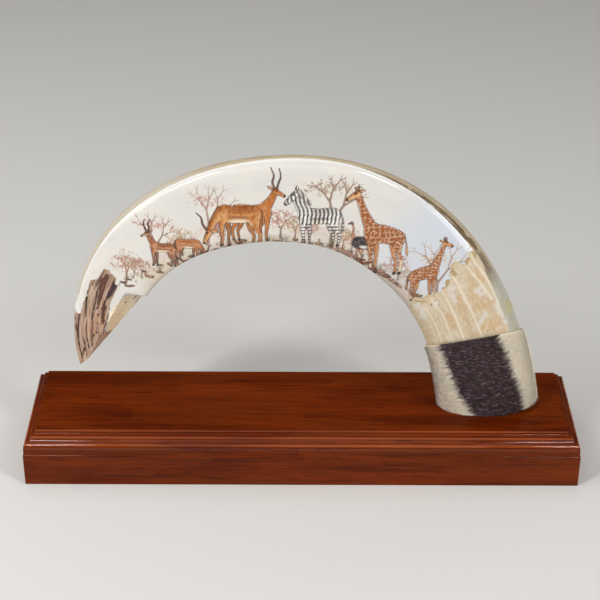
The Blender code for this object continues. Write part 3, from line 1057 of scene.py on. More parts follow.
def giraffe_net(x, z):
    """How far a place is from the pale net between a giraffe's patches, in mm."""
    i, j = np.floor(x / NET_CELL).astype(int), np.floor(z / NET_CELL).astype(int)
    first = np.full(len(x), NOTHING_NEAR)
    second = np.full(len(x), NOTHING_NEAR)
    for a in (-1, 0, 1):
        for b in (-1, 0, 1):
            shift = speckle_table[(i + a) % TABLE_SIDE, (j + b) % TABLE_SIDE]
            drift = speckle_table[(j + b + 17) % TABLE_SIDE, (i + a + 5) % TABLE_SIDE]
            cell_x = (i + a + 0.2 + 0.6 * shift) * NET_CELL
            cell_z = (j + b + 0.2 + 0.6 * drift) * NET_CELL
            gap = np.hypot(cell_x - x, cell_z - z)
            second = np.minimum(second, np.maximum(first, gap))
            first = np.minimum(first, gap)
    return second - first


def marked(colour, pattern, x, z, hair, fur, deep):
    """The colour of a body with a giraffe's patches or an antelope's belly and band."""
    dark, cream = colours(INK_BROWN, CREAM)
    if pattern == "patches":
        inner = (giraffe_net(x, z) > 0.30) & (z > 9)
        colour = np.where(inner[:, None], deep * 0.75 + fur * 0.25, colour * 0.45 + cream * 0.55)
        return colour * (0.86 + 0.14 * hair)
    arch = 0.035 * x * x - 1.4 * (hair[:, 0] - 0.5)
    belly = fade(z + arch, 18.6, 16.0) * fade(z, 12.5, 14.0) * fade(np.abs(x), 9.5, 6.0)
    colour = colour + (cream - colour) * (0.85 * belly)[:, None]
    band = np.exp(-((z - 18.6 - 0.02 * x) / 0.8) ** 2) * (np.abs(x + 0.5) < 6.5)
    return colour + (dark - colour) * (0.55 * band)[:, None]


# %% Draw an animal
def draw_animal(kind, at, lift, scale=1.0, facing=1, coat=TAWNY_COAT, pattern=None):
    """Draw an animal standing on the ground; facing 1 looks left and -1 looks right."""
    x, z, where = spot(at, lift, 32, -4, 62, scale, facing)
    fur, pale, deep = colours(*coat)
    dark, black = colours(INK_BROWN, INK_BLACK)
    hair = speckle(x + 0.4 * z, z - 0.3 * x, 0.5, 2.2)[:, None]
    glint = speckle(x - 0.5 * z + 7, z + 0.2 * x, 0.6, 2.0)[:, None]
    shapes = []

    def fleece(paths, shade):
        """Melt strokes into one shape; its distance, and its colour lit from the left."""
        distance = np.full(len(x), NOTHING_NEAR)
        beside = np.full(len(x), NOTHING_NEAR)
        for path in paths:
            distance = melt(distance, stroke(x, z, path), BODY_SOFTNESS)
            beside = melt(beside, stroke(x + 0.5, z - 0.8, path), BODY_SOFTNESS)
        slope = np.clip((distance - beside) / 0.9, -1.0, 1.0)
        depth = np.clip(-distance / 3.2, 0.0, 1.0)
        light = (-slope * (1 - depth) * facing * 0.5 + 0.5 * (-slope))[:, None]
        colour = fur + (pale - fur) * np.clip(light, 0, 1) * 0.9
        colour = colour + (deep - colour) * np.clip(-light, 0, 1) * 0.75
        colour = colour + (deep - colour) * (shade + 0.9 * (hair - 0.4) * (hair > 0.4))
        colour = colour + (pale - colour) * 0.9 * (glint - 0.5) * (glint > 0.5)
        shapes.append(distance)
        return distance * scale, colour

    def draw(parts, shade):
        for path in kind[parts]:
            lay(where, *fleece([path], shade))

    def dab(path, colour):
        lay(where, stroke(x, z, path) * scale, colour)

    draw("far", 0.38)
    draw("tail", 0.25)
    body, colour = fleece(kind["body"], 0.0)
    trunk = shapes[-1]
    lay(where, body, marked(colour, pattern, x, z, hair, fur, deep))
    draw("neck", 0.0)
    for path in kind["horns"][:1]:
        dab(path, deep if pattern == "patches" else dark)
    for path in kind["neck"]:  # no ink line where the neck grows out of the body
        joined = (stroke(x, z, path) < 0.4) & (trunk < -0.3)
        ink[where[joined]] = np.maximum(ink[where[joined]], 1.0)
    draw("head", 0.0)
    draw("ears", 0.1)
    for path in kind["horns"][1:]:
        dab(path, dark + (deep - dark) * (0.5 + 0.5 * np.sin(z * 5.0)[:, None]))
    if pattern == "stripes":
        across_body = np.sin(2.4 * (x + 0.3 * np.abs(z - 21)) + 0.8 * np.sin(0.7 * z))
        band = np.where(z < 14.5, np.sin(3.0 * z), across_body)
        band = np.maximum(np.min(shapes, axis=0) + 0.1, (0.05 - band) * 0.6)
        lay(where, band * scale, black, outlined=False, strength=0.92)
    for path in kind["body"][1:3] + kind["far"]:
        foot = path[-1][0]
        dab(((foot, 0.5, 0.9), (foot - 0.5, 0.3, 0.9)), black)
    (eye_x, eye_z), (nose_x, nose_z) = kind["eye"], kind["nose"]
    dab(((eye_x, eye_z, 0.42), (eye_x + 0.3, eye_z, 0.4)), black)
    dab(((nose_x, nose_z, 0.5), (nose_x + 0.2, nose_z, 0.5)), dark)


# %% Draw an ostrich
OSTRICH_SKIN = (
    # legs and toes, neck and head
    ((-2.6, 15, 2.1), (-4.8, 10.4, 1), (-3.6, 5.4, 0.6), (-5, 0.9, 0.5)),
    ((-5, 0.8, 0.5), (-7.2, 0.5, 0.4)),
    ((0.6, 15, 2.3), (-0.8, 10, 1.1), (0.9, 5, 0.65), (-0.6, 0.8, 0.55)),
    ((-0.6, 0.7, 0.55), (-3, 0.4, 0.45)),
    ((-5.8, 22, 2.1), (-8.4, 28, 1.15), (-7.6, 34, 0.95), (-8.8, 39, 1)),
    ((-9.2, 40.2, 1.5), (-11, 39.8, 0.9)),
)
OSTRICH_COLOURS = ((38, 32, 34), (120, 112, 110), (244, 240, 232), (200, 146, 122), (96, 60, 48))


def draw_ostrich(at, lift, scale):
    """A cock ostrich in black and white plumes, with a bare pink neck."""
    x, z, where = spot(at, lift, 20, -3, 46, scale)
    black, grey, white, pink, dark = colours(*OSTRICH_COLOURS)
    plume = speckle(x * 0.9 + z * 0.5, z - x * 0.4, 0.7, 2.6)[:, None]
    skin = pink + (dark - pink) * 0.35 * speckle(x, z, 0.9, 0.9)[:, None]
    bulk = melt(
        stroke(x, z, ((-3.4, 20.6, 6), (3.4, 20, 6.3))),
        stroke(x, z, ((6, 21, 4.2), (8, 20.4, 3))), 1.5,
    )

    def dab(path, colour):
        lay(where, stroke(x, z, path) * scale, colour)

    for path in OSTRICH_SKIN:
        dab(path, skin)
    dab(((-11.2, 40, 0.45), (-13.2, 39.3, 0.25)), dark)
    tail = ((7, 21, 2.6), (10.4, 22.4, 2.6), (12.4, 20.6, 1.6))
    dab(tail, white + (grey - white) * (0.15 + 0.75 * plume))
    lay(where, bulk * scale, black + (grey - black) * 0.75 * plume ** 2)
    wing = ((-1, 16.6, 1.3), (3, 15.6, 1.8), (7.6, 16.4, 1.4), (9.8, 17.6, 0.7))
    dab(wing, white + (grey - white) * 0.7 * plume)
    dab(((-9.6, 40.6, 0.3), (-9.4, 40.6, 0.3)), black)


# %% [markdown]
# ## Plants, stones and ground
#
# A thorn tree is a trunk that forks again and again, with a flat crown of small leaves, dabbed
# where a fine random pattern is high. Bushes fork the same way with more spread. Grass is
# fans of thin strokes, and stones are short fat ones. Washes of olive grey and sand lie on
# the ground under everything, with hatched hills behind it, so they are laid first.


# %% Trees
def fork(x, z, start, heading, length, radius, depth, spread, found):
    """Grow a branch and its forks, keeping the nearest distance to any of them."""
    end = (start[0] + length * math.sin(heading), start[1] + length * math.cos(heading))
    branch = stroke(x, z, ((*start, radius), (*end, max(0.7 * radius, 0.2))))
    found[:] = np.minimum(found, branch)
    if depth:
        for side in (-1, 1):
            bend = side * spread * picture_random.uniform(0.5, 1.2)
            grown = length * picture_random.uniform(0.6, 0.85)
            fork(x, z, end, heading + bend, grown, 0.7 * radius, depth - 1, spread, found)


def draw_tree(at, lift, height, crown_width, bark, leaves, spread=0.5, depth=4, flat=True):
    """A tree with a flat crown, or a bush with a round one."""
    x, z, where = spot(at, lift, crown_width, -2, height * 1.4)
    found = np.full(len(x), NOTHING_NEAR)
    trunk, crown_height, crown_depth = (0.42, 0.92, 0.16) if flat else (0.3, 0.62, 0.42)
    fork(x, z, (0.0, 0.0), 0.08, height * trunk, 0.045 * height, depth, spread, found)
    bark_tint, first, second = colours(bark, *leaves)
    lay(where, found, bark_tint, outlined=False, strength=0.9)
    from_middle = (z - height * crown_height) / (height * crown_depth)
    round_crown = np.hypot(x / (crown_width * 0.5), from_middle)
    leaf = speckle(x, z, 0.8, 0.7) + 0.35 * speckle(x, z, 2.6, 1.6)
    dab = (0.54 + 0.55 * np.clip(round_crown, 0, 2) ** 2 - leaf) * 1.4
    mix = speckle(x + 9, z + 5, 1.7, 1.3)[:, None]
    lay(where, dab, first + (second - first) * mix, outlined=False, strength=0.85)


# %% Grass and stones
def draw_grass(at, lift, height, blades, colour):
    x, z, where = spot(at, lift, 1.4 * height, -1, 1.3 * height)
    (blade,) = colours(colour)
    for k in range(blades):
        lean = (k / max(blades - 1, 1) - 0.5) * 1.5 + picture_random.uniform(-0.12, 0.12)
        reach = height * picture_random.uniform(0.65, 1.1)
        root = picture_random.uniform(-0.14, 0.14) * height
        middle = (root + 0.35 * lean * reach, 0.55 * reach, 0.22)
        tip = (root + lean * reach, reach * (1 - 0.22 * abs(lean)), 0.08)
        distance = stroke(x, z, ((root, 0.0, 0.3), middle, tip))
        lay(where, distance, blade, outlined=False, strength=0.85)


def draw_stone(at, lift, width, height, colour):
    x, z, where = spot(at, lift, width * 1.3, -height * 2.5, height * 2.5)
    stone, deep, pale = colours(colour, (110, 62, 44), (236, 214, 190))
    distance = (np.hypot(x / width, z / height) - 1) * height
    light = np.clip(0.5 + z / height * 0.5 - 0.25 * x / width, 0, 1)[:, None]
    shaded = deep + (stone - deep) * light + (pale - stone) * np.maximum(light - 0.7, 0)
    lay(where, distance, shaded)


# %% Lay the washes
RUST, MAUVE, OLIVE, SAND = (176, 96, 62), (160, 104, 104), (150, 148, 118), (206, 176, 136)
HILLS, STAIN, BANK = colours((186, 146, 134), (196, 178, 132), (158, 84, 58))
STAIN_PATH = ((-122, 158, 1.5), (-112, 161, 3), (-101, 167, 1.5))
BANK_PATH = ((16, 186.5, 0.6), (28, 182, 1.6), (40, 175.5, 1.3), (54, 165, 1.8), (68, 153.5, 0.8))

above = canvas_z - read(GROUND, canvas_x)
everywhere = np.arange(len(canvas))


def ruffle(strength, width, height):
    """A random shake of the edge of a wash."""
    return strength * (speckle(canvas_x, canvas_z, width, height) - 0.5)


cloudy = speckle(canvas_x, canvas_z, 9.0, 4.0)
hills = above - 11.0 - 5.0 * np.sin(canvas_x / 13.0) - 2.5 * np.sin(canvas_x / 5.3 + 2.0)
hatching = speckle(canvas_x + canvas_z, canvas_z - canvas_x, 0.7, 3.0)
hatched = 0.32 + 0.42 * hatching * fade(hills, -14.0, 0.0)
hatched = hatched * fade(canvas_x, -126.0, -96.0) * fade(canvas_x, 100.0, 70.0)
washes = [(hills + ruffle(2.0, 2.4, 1.2), HILLS, hatched, 1.2)]
for colour, top, strength in ((OLIVE, 9.0, 0.45), (SAND, 3.0, 0.60)):
    edge = (above - top * cloudy) * 0.6 - 0.5 + ruffle(2.2, 1.1, 0.7)
    faded = strength * fade(canvas_x, -126.0, -100.0)
    washes.append((edge, colours(colour)[0], faded, 2.0))
washes.append((stroke(canvas_x, canvas_z, STAIN_PATH), STAIN, 0.5, 3.0))
for edge, colour, strength, softness in washes:
    lay(everywhere, edge, colour, False, strength, softness)
rocky = stroke(canvas_x, canvas_z, BANK_PATH) + ruffle(2.4, 1.6, 1.0)
lay(everywhere, rocky, BANK, strength=0.85)
print(len(washes) + 1, "washes")

# %% Draw the scene
RED_BARK, PALE_MAUVE_LEAVES = (128, 70, 60), (MAUVE, (190, 120, 96))
TREES = (
    # x, lift off the ground, height, crown's width, bark, leaves, spread, forks, flat crown
    (-124, -2, 24, 30, RED_BARK, (MAUVE, RUST), 0.42, 5, False),
    (-113, -3, 15, 20, RED_BARK, (RUST, MAUVE), 0.5, 4, False),
    (-103, 3, 30, 36, (116, 74, 66), PALE_MAUVE_LEAVES, 0.5, 4, True),
    (-66, 3, 34, 34, (150, 110, 96), ((188, 150, 130), MAUVE), 0.5, 4, True),
    (19, -1, 44, 54, (122, 84, 66), ((120, 118, 92), (170, 110, 80)), 0.42, 4, True),
    (33, -1, 18, 20, (140, 96, 76), ((176, 150, 104), RUST), 0.5, 4, False),
    (93, 3, 36, 38, (132, 92, 74), ((176, 160, 120), RUST), 0.45, 4, True),
)
BUSHES = (
    # x, height
    (-118, 13), (-90, 14), (-84, 21), (-57, 16), (-16, 22), (-6, 17),
    (4, 14), (27, 15), (46, 13), (66, 20), (73, 15), (101, 14),
)
BUSH_BARK = (110, 76, 60)
BUSH_LEAVES = ((MAUVE, RUST), ((150, 140, 96), (190, 130, 80)))
DARK_COAT = ((164, 98, 62), (218, 170, 128), (96, 54, 36))
WARM_COAT = ((182, 112, 66), (226, 180, 134), (112, 60, 38))
ZEBRA_COAT = ((238, 234, 228), (250, 248, 244), (150, 140, 134))
NET_COAT = ((206, 140, 84), (236, 196, 146), (146, 76, 40))
STONES, TUFTS, TUFT_BLADES = 60, 96, 6
GRASSES = ((116, 112, 84), (150, 84, 56), (132, 98, 62), (92, 62, 50))

for tree in TREES:
    draw_tree(*tree)
for x, height in BUSHES:
    draw_tree(x, 1, height, 1.3 * height, BUSH_BARK, BUSH_LEAVES[height % 2], flat=False)
draw_animal(ANTELOPE, -97, -2, 0.66, 1, DARK_COAT)
draw_animal(GRAZING, -80, -5, 0.62, -1, WARM_COAT)
draw_animal(ANTELOPE, -36, -0.5, 1.0, -1)
draw_animal(GRAZING, -44, -4, 1.12, 1)
draw_animal(ZEBRA, 11, -2.5, 1.06, 1, ZEBRA_COAT, "stripes")
draw_ostrich(40, -4, 0.72)
draw_animal(GIRAFFE, 56, -2, 1.12, 1, NET_COAT, "patches")
draw_animal(GIRAFFE, 84, -3, 0.84, -1, NET_COAT, "patches")

for k in range(STONES):
    x = float(picture_random.uniform(-128, 100))
    lift = -picture_random.uniform(-0.5, 7.0)
    width = picture_random.uniform(0.7, 2.6)
    height = width * picture_random.uniform(0.35, 0.6)
    draw_stone(x, lift, width, height, (RUST, MAUVE, SAND)[k % 3])
for k in range(TUFTS):
    x = float(picture_random.uniform(-130, 108))
    lift = -picture_random.uniform(-1.0, 6.0)
    height = picture_random.uniform(2.0, 5.5)
    draw_grass(x, lift, height, TUFT_BLADES, GRASSES[k % 4])

all_paint = np.zeros((count, 4))
all_paint[:, :3] = tint(*POLISHED_WHITE)[:3]
all_paint[canvas] = paint
all_ink = np.full(count, BARE_INK)
all_ink[canvas] = np.clip(ink, 0.0, BARE_INK)
keep(tusk, "paint", all_paint)
keep(tusk, "ink", all_ink)
print("paint on", int((paint[:, 3] > 0.5).sum()), "points")

# %% [markdown]
# ## Ivory, enamel and bark
#
# One material covers the whole tusk, because its zones run into each other. It is built from
# the outside in: natural enamel, cream with tan patches and pale rib lines, then the white
# polished side with its picture, then the bark, the worn corner and the chip. Patterns that
# follow the tusk read the place along and across it, which was stored for every point, so
# that streaks bend with the arch. The distances from the borders are shaken by a fine noise
# before they are cut, which makes the edges ragged.

# %% Patterns of the tusk
ivory, bench = start_material("tusk_ivory")
stored = bench.stored
skin_place = stored("skin_place", "Vector")
across_tusk, along_tusk = stored("across"), skin_place.part(0)


def pattern(along_scale, across_scale, *noise):
    """A noise with so many spots in a metre along the tusk and across it."""
    return skin_place.stretched(along_scale, across_scale, across_scale).noise(1.0, *noise)


streak = pattern(28.0, 420.0, 4.0, 0.6)
fine_streak = pattern(60.0, 1500.0, 3.0, 0.6)
cloud = pattern(45.0, 110.0, 3.0, 0.55)
patch = pattern(55.0, 130.0, 2.0, 0.6, 0.6)
chalk = pattern(260.0, 520.0, 4.0, 0.7)
rim_blotch = pattern(95.0, 330.0, 3.0, 0.6)
spots = skin_place.noise(700.0, 2.0)
# Shakes for the borders, from -0.5 to 0.5
torn = pattern(260.0, 1100.0, 3.0, 0.6) - 0.5
frayed = pattern(180.0, 420.0, 3.0, 0.6) - 0.5
ragged = skin_place.noise(1400.0, 2.0) - 0.5
broken = frayed * 7.0 + torn * 5.0

# %% Enamel
from_polish = stored("polished")
olive = (stored("olive_patch") + frayed * 4.0).rise(0.7, -0.5)
tan = patch.rise(0.4, 0.6).blend((206, 170, 126), (202, 174, 142))
enamel = layered(
    cloud.rise(0.35, 0.65).blend((206, 184, 150), (210, 194, 168)),
    (streak.rise(0.45, 0.75), 0.35, (204, 176, 134)),
    (fine_streak.rise(0.52, 0.66), 0.4, (238, 230, 212)),
    ((stored("orange_patch") + broken).rise(1.6, -1.2), 0.75, tan),
    ((stored("white_patch") + broken).rise(1.4, -1.0), 0.75, (220, 214, 206)),
    (chalk.rise(0.54, 0.66), 0.55, (228, 220, 204)),
    (chalk.rise(0.45, 0.35), 0.45, (178, 146, 108)),
    (olive, 0.8, (172, 146, 96)),
    (stored("rib_line"), 0.75, (234, 222, 200)),
    ((stored("brown_dot") + ragged).rise(0.3, -0.2), 0.8, (104, 72, 46)),
    (from_polish.rise(-2.6, -0.3) * spots.rise(0.56, 0.64), 0.5, (134, 100, 64)),
    (from_polish.rise(-1.4, -0.1), 0.4, (186, 150, 102)),
)

# %% Rim
root_rim = layered(
    cloud.rise(0.4, 0.6).blend((190, 188, 178), (180, 174, 154)),
    (olive, 0.7, (190, 178, 122)),
)
rim_colour = layered(
    cloud.rise(0.40, 0.60).blend((142, 126, 102), (114, 97, 74)),
    (streak.rise(0.48, 0.60), 0.75, (104, 78, 56)),
    (fine_streak.rise(0.55, 0.68), 0.4, (218, 204, 178)),
    (fine_streak.rise(0.49, 0.40), 0.6, (92, 72, 54)),
    (rim_blotch.rise(0.52, 0.60), 0.75, (112, 86, 62)),
    (rim_blotch.rise(0.44, 0.36), 0.7, (206, 194, 170)),
    (across_tusk.rise(0.478, 0.492), 0.7, (214, 196, 164)),
    (along_tusk.rise(0.120, 0.085), 1.0, root_rim),
    (along_tusk.rise(0.290, 0.325), 0.75, (206, 197, 180)),
)
enamel = (stored("rim") + frayed * 2.5).rise(-0.6, 0.8).blend(enamel, rim_colour)

# %% Polished white and the picture
pen = stored("ink").rise(0.42, 0.16)
white = layered(
    cloud.rise(0.3, 0.7).blend((225, 220, 211), (218, 215, 210)),
    (along_tusk.rise(0.200, 0.150), 1.0, (208, 212, 219)),
    (streak.rise(0.55, 0.8), 0.15, (202, 188, 160)),
    # Painted highlight: a white line just inside the polished border at the outer shoulders, where
    # the bevel would mirror the lamps
    (from_polish.rise(1.0, 0.5) * across_tusk.rise(0.36, 0.40), 0.7, (240, 239, 237)),
    (stored("paint", "Alpha"), 1.0, stored("paint", "Color")),
    (pen, 0.8, (62, 36, 28)),
)

# %% Bark
brown = (stored("brown_plate") + torn * 5.0 + frayed * 2.0).rise(0.45, -0.35)
purple = (stored("purple_plate") + torn * 4.5 + frayed * 2.0).rise(0.45, -0.35)
split = (stored("crack") + torn * 2.2).rise(0.40, -0.20)
bark_colour = layered(
    streak.rise(0.35, 0.65).blend((206, 180, 158), (154, 122, 102)),
    (fine_streak.rise(0.50, 0.60), 0.7, (112, 72, 56)),
    (patch.rise(0.52, 0.60), 0.4, (196, 148, 112)),
    (brown, 0.92, torn.rise(-0.1, 0.15).blend((66, 36, 32), (110, 62, 48))),
    (purple, 0.95, (50, 32, 42)),
    (split, 0.92, (46, 28, 24)),
)

# %% The whole tusk's finish
polish_mask = (from_polish + ragged * 0.5).rise(-0.12, 0.12)
bark_mask = (stored("bark") + ragged * 1.2 + torn * 3.6 + frayed * 4.0).rise(-0.25, 0.25)
flat_mask = (stored("corner") + ragged + frayed * 2.5).rise(0.7, -0.5) * (1 - bark_mask)
# The worn flats face down and get little lamp light, so their worn cream is painted paler than the
# ivory is: real wear colour with painted light laid in
worn_and_lit_colour = layered(
    cloud.rise(0.35, 0.65).blend((252, 236, 206), (242, 214, 172)),
    (spots.rise(0.56, 0.66), 0.5, (160, 118, 82)),
    (torn.rise(0.05, 0.2), 0.4, (244, 236, 216)),
)
colour = layered(
    polish_mask.blend(enamel, white),
    (bark_mask, 1.0, bark_colour),
    (flat_mask, 1.0, worn_and_lit_colour),
    ((stored("smear") + torn * 1.2).rise(0.3, -0.3), 0.85, (78, 48, 38)),
    ((stored("gleam") + torn * 0.8).rise(0.2, -0.2), 0.8, (214, 182, 142)),
    ((stored("chip") + ragged * 0.6).rise(0.2, -0.2), 1.0, (232, 228, 220)),
    (stored("notch").rise(0.3, -0.3), 0.8, (60, 36, 30)),
    (stored("hole").rise(0.95, 0.55), 1.0, (36, 22, 18)),
)
rough_zone = 1 - polish_mask * (1 - bark_mask)
grain = fine_streak * 0.7 + streak * 0.5 + split * -0.6
height = grain * rough_zone + pen * -0.25
finish_material(
    bench,
    {
        "Base Color": colour,
        "Roughness": rough_zone * 0.25 + bark_mask * 0.15 + 0.20,
        "Specular IOR Level": 0.3,
        "Coat Weight": (1 - rough_zone) * 0.25,
        "Coat Roughness": 0.08,
        "IOR": 1.52,
        "Normal": height.bump(0.00035, 0.7),
    },
)
place_piece(tusk, ivory, "tusk")

# %% [markdown]
# ## The band of zebra hide
#
# A strip of zebra hide is wrapped round the root and trimmed. The skin is a thin sleeve that
# follows the tusk's own outline, a little outside it: level where it stands on the base, and
# cut off at a tilt above. An outer and an inner wall are laid ring by ring and closed into
# one tube with thickness.

# %% Walls of the sleeve
HIDE_HEIGHT = 0.0586
HIDE_SIDE_TILT, HIDE_FRONT_TILT = 11.3, 27.9  # degrees
SKIN_THICKNESS = 0.0015
SLEEVE_RINGS, SLEEVE_COLUMNS = 30, 128

side_slope = math.tan(math.radians(HIDE_SIDE_TILT))
front_slope = math.tan(math.radians(HIDE_FRONT_TILT))
level = np.array([0.0, 0.0, 1.0])
upper = np.array([-side_slope, front_slope, 1.0])


def sleeve(height, turn, offset):
    """Points of the sleeve, at a height from 0 to 1 and a turn round it, off the tusk."""
    height, turn = np.broadcast_arrays(height, turn)
    normal = level + (upper - level) * height[..., None]
    start = height * HIDE_HEIGHT / TUSK_LENGTH
    place = cut_level(start, turn, normal, offset)
    return to_world(place, *outline(place, turn, offset))


def sleeve_middle(height):
    share = height * HIDE_HEIGHT / TUSK_LENGTH
    return to_world(share, 0.0 * share, 0.0 * share)


upward = np.linspace(0.0, 1.0, SLEEVE_RINGS)
wall_heights = np.concatenate([upward, np.linspace(1.0, 0.0, SLEEVE_RINGS)])
offsets = np.repeat([GAP + SKIN_THICKNESS, GAP], SLEEVE_RINGS)
sleeve_turns = 2 * np.pi * np.arange(SLEEVE_COLUMNS) / SLEEVE_COLUMNS
walls = [sleeve(h, sleeve_turns, o) for h, o in zip(wall_heights, offsets)]
print(len(walls), "rings in two walls")

# %% Skin of the band
bm = bmesh.new()
column_layer = bm.verts.layers.int.new("column")
circle = bmesh.ops.create_circle(bm, segments=SLEEVE_COLUMNS, radius=1.0)["verts"]
for k, vert in enumerate(circle):
    vert[column_layer] = k
    vert.co = walls[0][k]
first_edges = bm.edges[:]
edges = first_edges
for wall in walls[1:]:
    grown = bmesh.ops.extrude_edge_only(bm, edges=edges)["geom"]
    edges = [item for item in grown if isinstance(item, bmesh.types.BMEdge)]
    for item in grown:
        if isinstance(item, bmesh.types.BMVert):
            item.co = wall[item[column_layer]]
bmesh.ops.bridge_loops(bm, edges=first_edges + edges)
bmesh.ops.recalc_face_normals(bm, faces=bm.faces[:])
skin = add_piece("zebra_skin", bm, 60)
print(len(skin.data.vertices), "points in the skin")

# %% [markdown]
# ## Hair on the hide
#
# Zebra hair is short and stiff and lies flat, here from the outer side of the arch round to
# the inner side and slightly down. One hair is a slim three-sided cone. It is doubled again
# and again until there are enough, each copy with its own number, and then every hair is laid
# in its place in one sum: from its root on the skin along the lie, with its tip lifted a
# little. A fixed seed keeps the coat the same each time.

# %% One hair, doubled
DOUBLINGS = 15

bm = bmesh.new()
hair_layer = bm.verts.layers.int.new("hair")
bmesh.ops.create_cone(
    bm, cap_ends=False, segments=3, radius1=1.0, radius2=0.0, depth=1.0,
    matrix=Matrix.Translation((0.0, 0.0, 0.5)),
)
bmesh.ops.remove_doubles(bm, verts=bm.verts[:], dist=0.0001)
bmesh.ops.contextual_create(bm, geom=[edge for edge in bm.edges if edge.is_boundary])
bmesh.ops.recalc_face_normals(bm, faces=bm.faces[:])
for doubling in range(DOUBLINGS):
    copied = bmesh.ops.duplicate(bm, geom=bm.verts[:] + bm.edges[:] + bm.faces[:])["geom"]
    for item in copied:
        if isinstance(item, bmesh.types.BMVert):
            item[hair_layer] += 2 ** doubling
coat = add_piece("zebra_hair", bm, 180)
hair_count = 2 ** DOUBLINGS
print(hair_count, "hairs")

# %% Lie of the hairs
HAIR_LENGTH, HAIR_LENGTH_SPREAD = 0.0052, 0.0014
HAIR_RADIUS, HAIR_FLATNESS = 0.00019, 0.3
HAIR_LIFT, HAIR_LIFT_SPREAD = 0.07, (-0.04, 0.08)
HAIR_DROOP, HAIR_TANGLE = 0.22, 0.07
HAIR_SEED = 7
ROOT_OFFSET = GAP + SKIN_THICKNESS - 0.0001  # the roots are sunk in the skin
STEP = 0.02  # to a place near by, which gives the skin's slope


def unit(vectors):
    return vectors / np.linalg.norm(vectors, axis=1)[:, None]


def dot(first, second):
    return (first * second).sum(1)[:, None]


random = np.random.default_rng(HAIR_SEED)
heights = random.uniform(0.0, 1.0, hair_count)
hair_turns = random.uniform(0.0, 2 * np.pi, hair_count)
roots = sleeve(heights, hair_turns, ROOT_OFFSET)
round_it = sleeve(heights, hair_turns + STEP, ROOT_OFFSET) - roots
up_it = sleeve(heights + STEP, hair_turns, ROOT_OFFSET) - roots
normals = unit(np.cross(round_it, up_it))
normals *= np.sign(dot(normals, roots - sleeve_middle(heights)))
lie = unit(round_it)
lie += np.array([0.0, 0.0, -HAIR_DROOP]) + random.normal(0.0, HAIR_TANGLE, (hair_count, 3))
lie = unit(lie - normals * dot(lie, normals))
lie += normals * (HAIR_LIFT + random.uniform(*HAIR_LIFT_SPREAD, (hair_count, 1)))
side = np.cross(normals, lie)  # this way round, or the cones would be inside out
lengths = HAIR_LENGTH + random.uniform(-1.0, 1.0, hair_count) * HAIR_LENGTH_SPREAD

hair = read_numbers(coat, "hair")
cone = read_points(coat)
points = roots[hair] + lie[hair] * (cone[:, 2] * lengths[hair])[:, None]
points += side[hair] * (cone[:, 0] * HAIR_RADIUS)[:, None]
points += normals[hair] * (cone[:, 1] * HAIR_RADIUS * HAIR_FLATNESS)[:, None]
points[:, 2] = np.maximum(points[:, 2], base_high.z + GAP)
move_points(coat, points)
print("hairs", round(MM * lengths.min(), 1), "to", round(MM * lengths.max(), 1), "mm long")

# %% [markdown]
# ## Stripes
#
# One broad dark stripe crosses the front at a slant, between cream, and two lie at the back.
# The two borders of each are rows of turns round the sleeve, read by height. A hair takes the
# colour of its root, so that the borders come out spiky by themselves, as on a real coat.

# %% Stripe by place on the sleeve
STRIPES = (
    # heights, then the turns in degrees of one border and of the other
    ((0.0, 0.27, 0.53, 0.75, 1.0), (42, 44, 51, 52, 57), (104, 118, 121, 122, 124)),
    ((0.0, 0.50, 1.00), (205, 214, 221), (246, 262, 271)),
    ((0.0, 0.50, 1.00), (291, 300, 303), (305, 318, 326)),
)


def darkness(heights, turns):
    """Degrees inside the nearest dark stripe, below zero outside it."""
    degrees = np.degrees(turns) % 360
    inside = np.full(len(degrees), -90.0)
    for stations, starts, ends in STRIPES:
        start = np.interp(heights, stations, starts)
        end = np.interp(heights, stations, ends)
        inside = np.maximum(inside, np.minimum(degrees - start, end - degrees))
    return inside


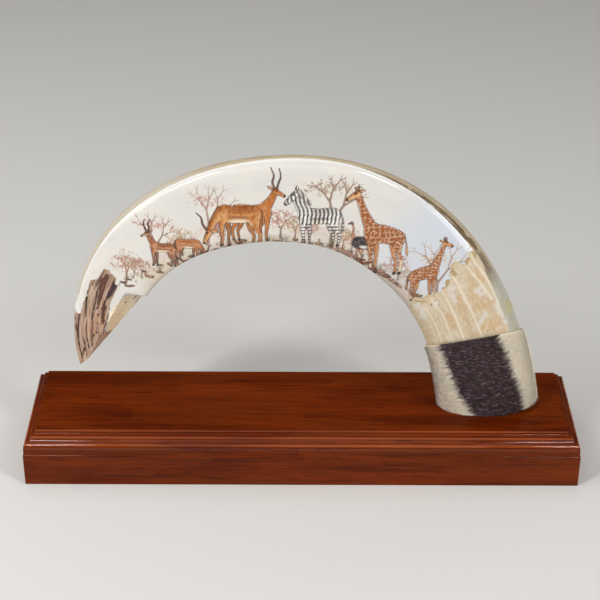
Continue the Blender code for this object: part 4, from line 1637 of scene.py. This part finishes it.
hair_dark = (darkness(heights, hair_turns) + random.normal(0.0, 1.0, hair_count) > 0) * 1.0
keep(coat, "dark", hair_dark[hair])
keep(coat, "tone", random.uniform(0.0, 1.0, hair_count)[hair])
keep(coat, "toward_tip", cone[:, 2])
table_heights, table_turns = np.meshgrid(upward, sleeve_turns, indexing="ij")
outer_wall = np.array(walls[:SLEEVE_RINGS]).reshape(-1, 3)
nearest = [int(np.argmin(((outer_wall - p) ** 2).sum(1))) for p in read_points(skin)]
skin_dark = darkness(table_heights.ravel()[nearest], table_turns.ravel()[nearest])
keep(skin, "dark", (skin_dark > 0) * 1.0)
print(int(hair_dark.sum()), "dark hairs")

# %% [markdown]
# ## Finish of the hide
#
# Under the hair the skin is plain dull leather, dark where its stripe is. A hair is cream or
# nearly black, a little different from its neighbours, and paler towards its tip. Hairs of a
# real coat lie in small clumps, so a noise by place tints whole groups: the cream ones tan, and
# the dark ones get a painted purple-grey highlight where they would catch the light. A weak
# sheen gives the soft rim of fur.

# %% Skin's finish
hide, bench = start_material("zebra_skin")
grain = bench.place().noise(900.0, 3.0)
colour = layered(
    bench.stored("dark").blend((244, 232, 208), (30, 18, 22)),
    (grain, 0.25, (150, 126, 96)),
)
finish_material(
    bench,
    {"Base Color": colour, "Roughness": 0.85, "Normal": grain.bump(0.0002, 0.6)},
)
place_piece(skin, hide, "zebra_hide_cuff")

# %% Hair's finish
hair_coat, bench = start_material("zebra_hair")
tone, tip = bench.stored("tone"), bench.stored("toward_tip")
clump_and_highlight = bench.place().stretched(260.0, 260.0, 700.0).noise(1.0, 3.0, 0.6)
cream = layered(
    tone.blend((255, 250, 236), (246, 234, 210)),
    (tip, 0.2, (232, 214, 184)),
    (clump_and_highlight.rise(0.42, 0.30), 0.4, (206, 182, 146)),
)
brown = layered(
    (tone * tone).blend((16, 7, 10), (66, 32, 36)),
    # Painted highlight: purple-grey on the dark clumps, stronger towards the hairs' tips
    (clump_and_highlight.rise(0.50, 0.62) * (tip * 0.5 + 0.35), 1.0, (164, 128, 142)),
)
finish_material(
    bench,
    {
        "Base Color": bench.stored("dark").blend(cream, brown),
        "Roughness": tone * 0.15 + 0.38,
        "Sheen Weight": 0.15,
        "Sheen Roughness": 0.4,
        "Sheen Tint": tint(214, 196, 222),
    },
)
place_piece(coat, hair_coat)
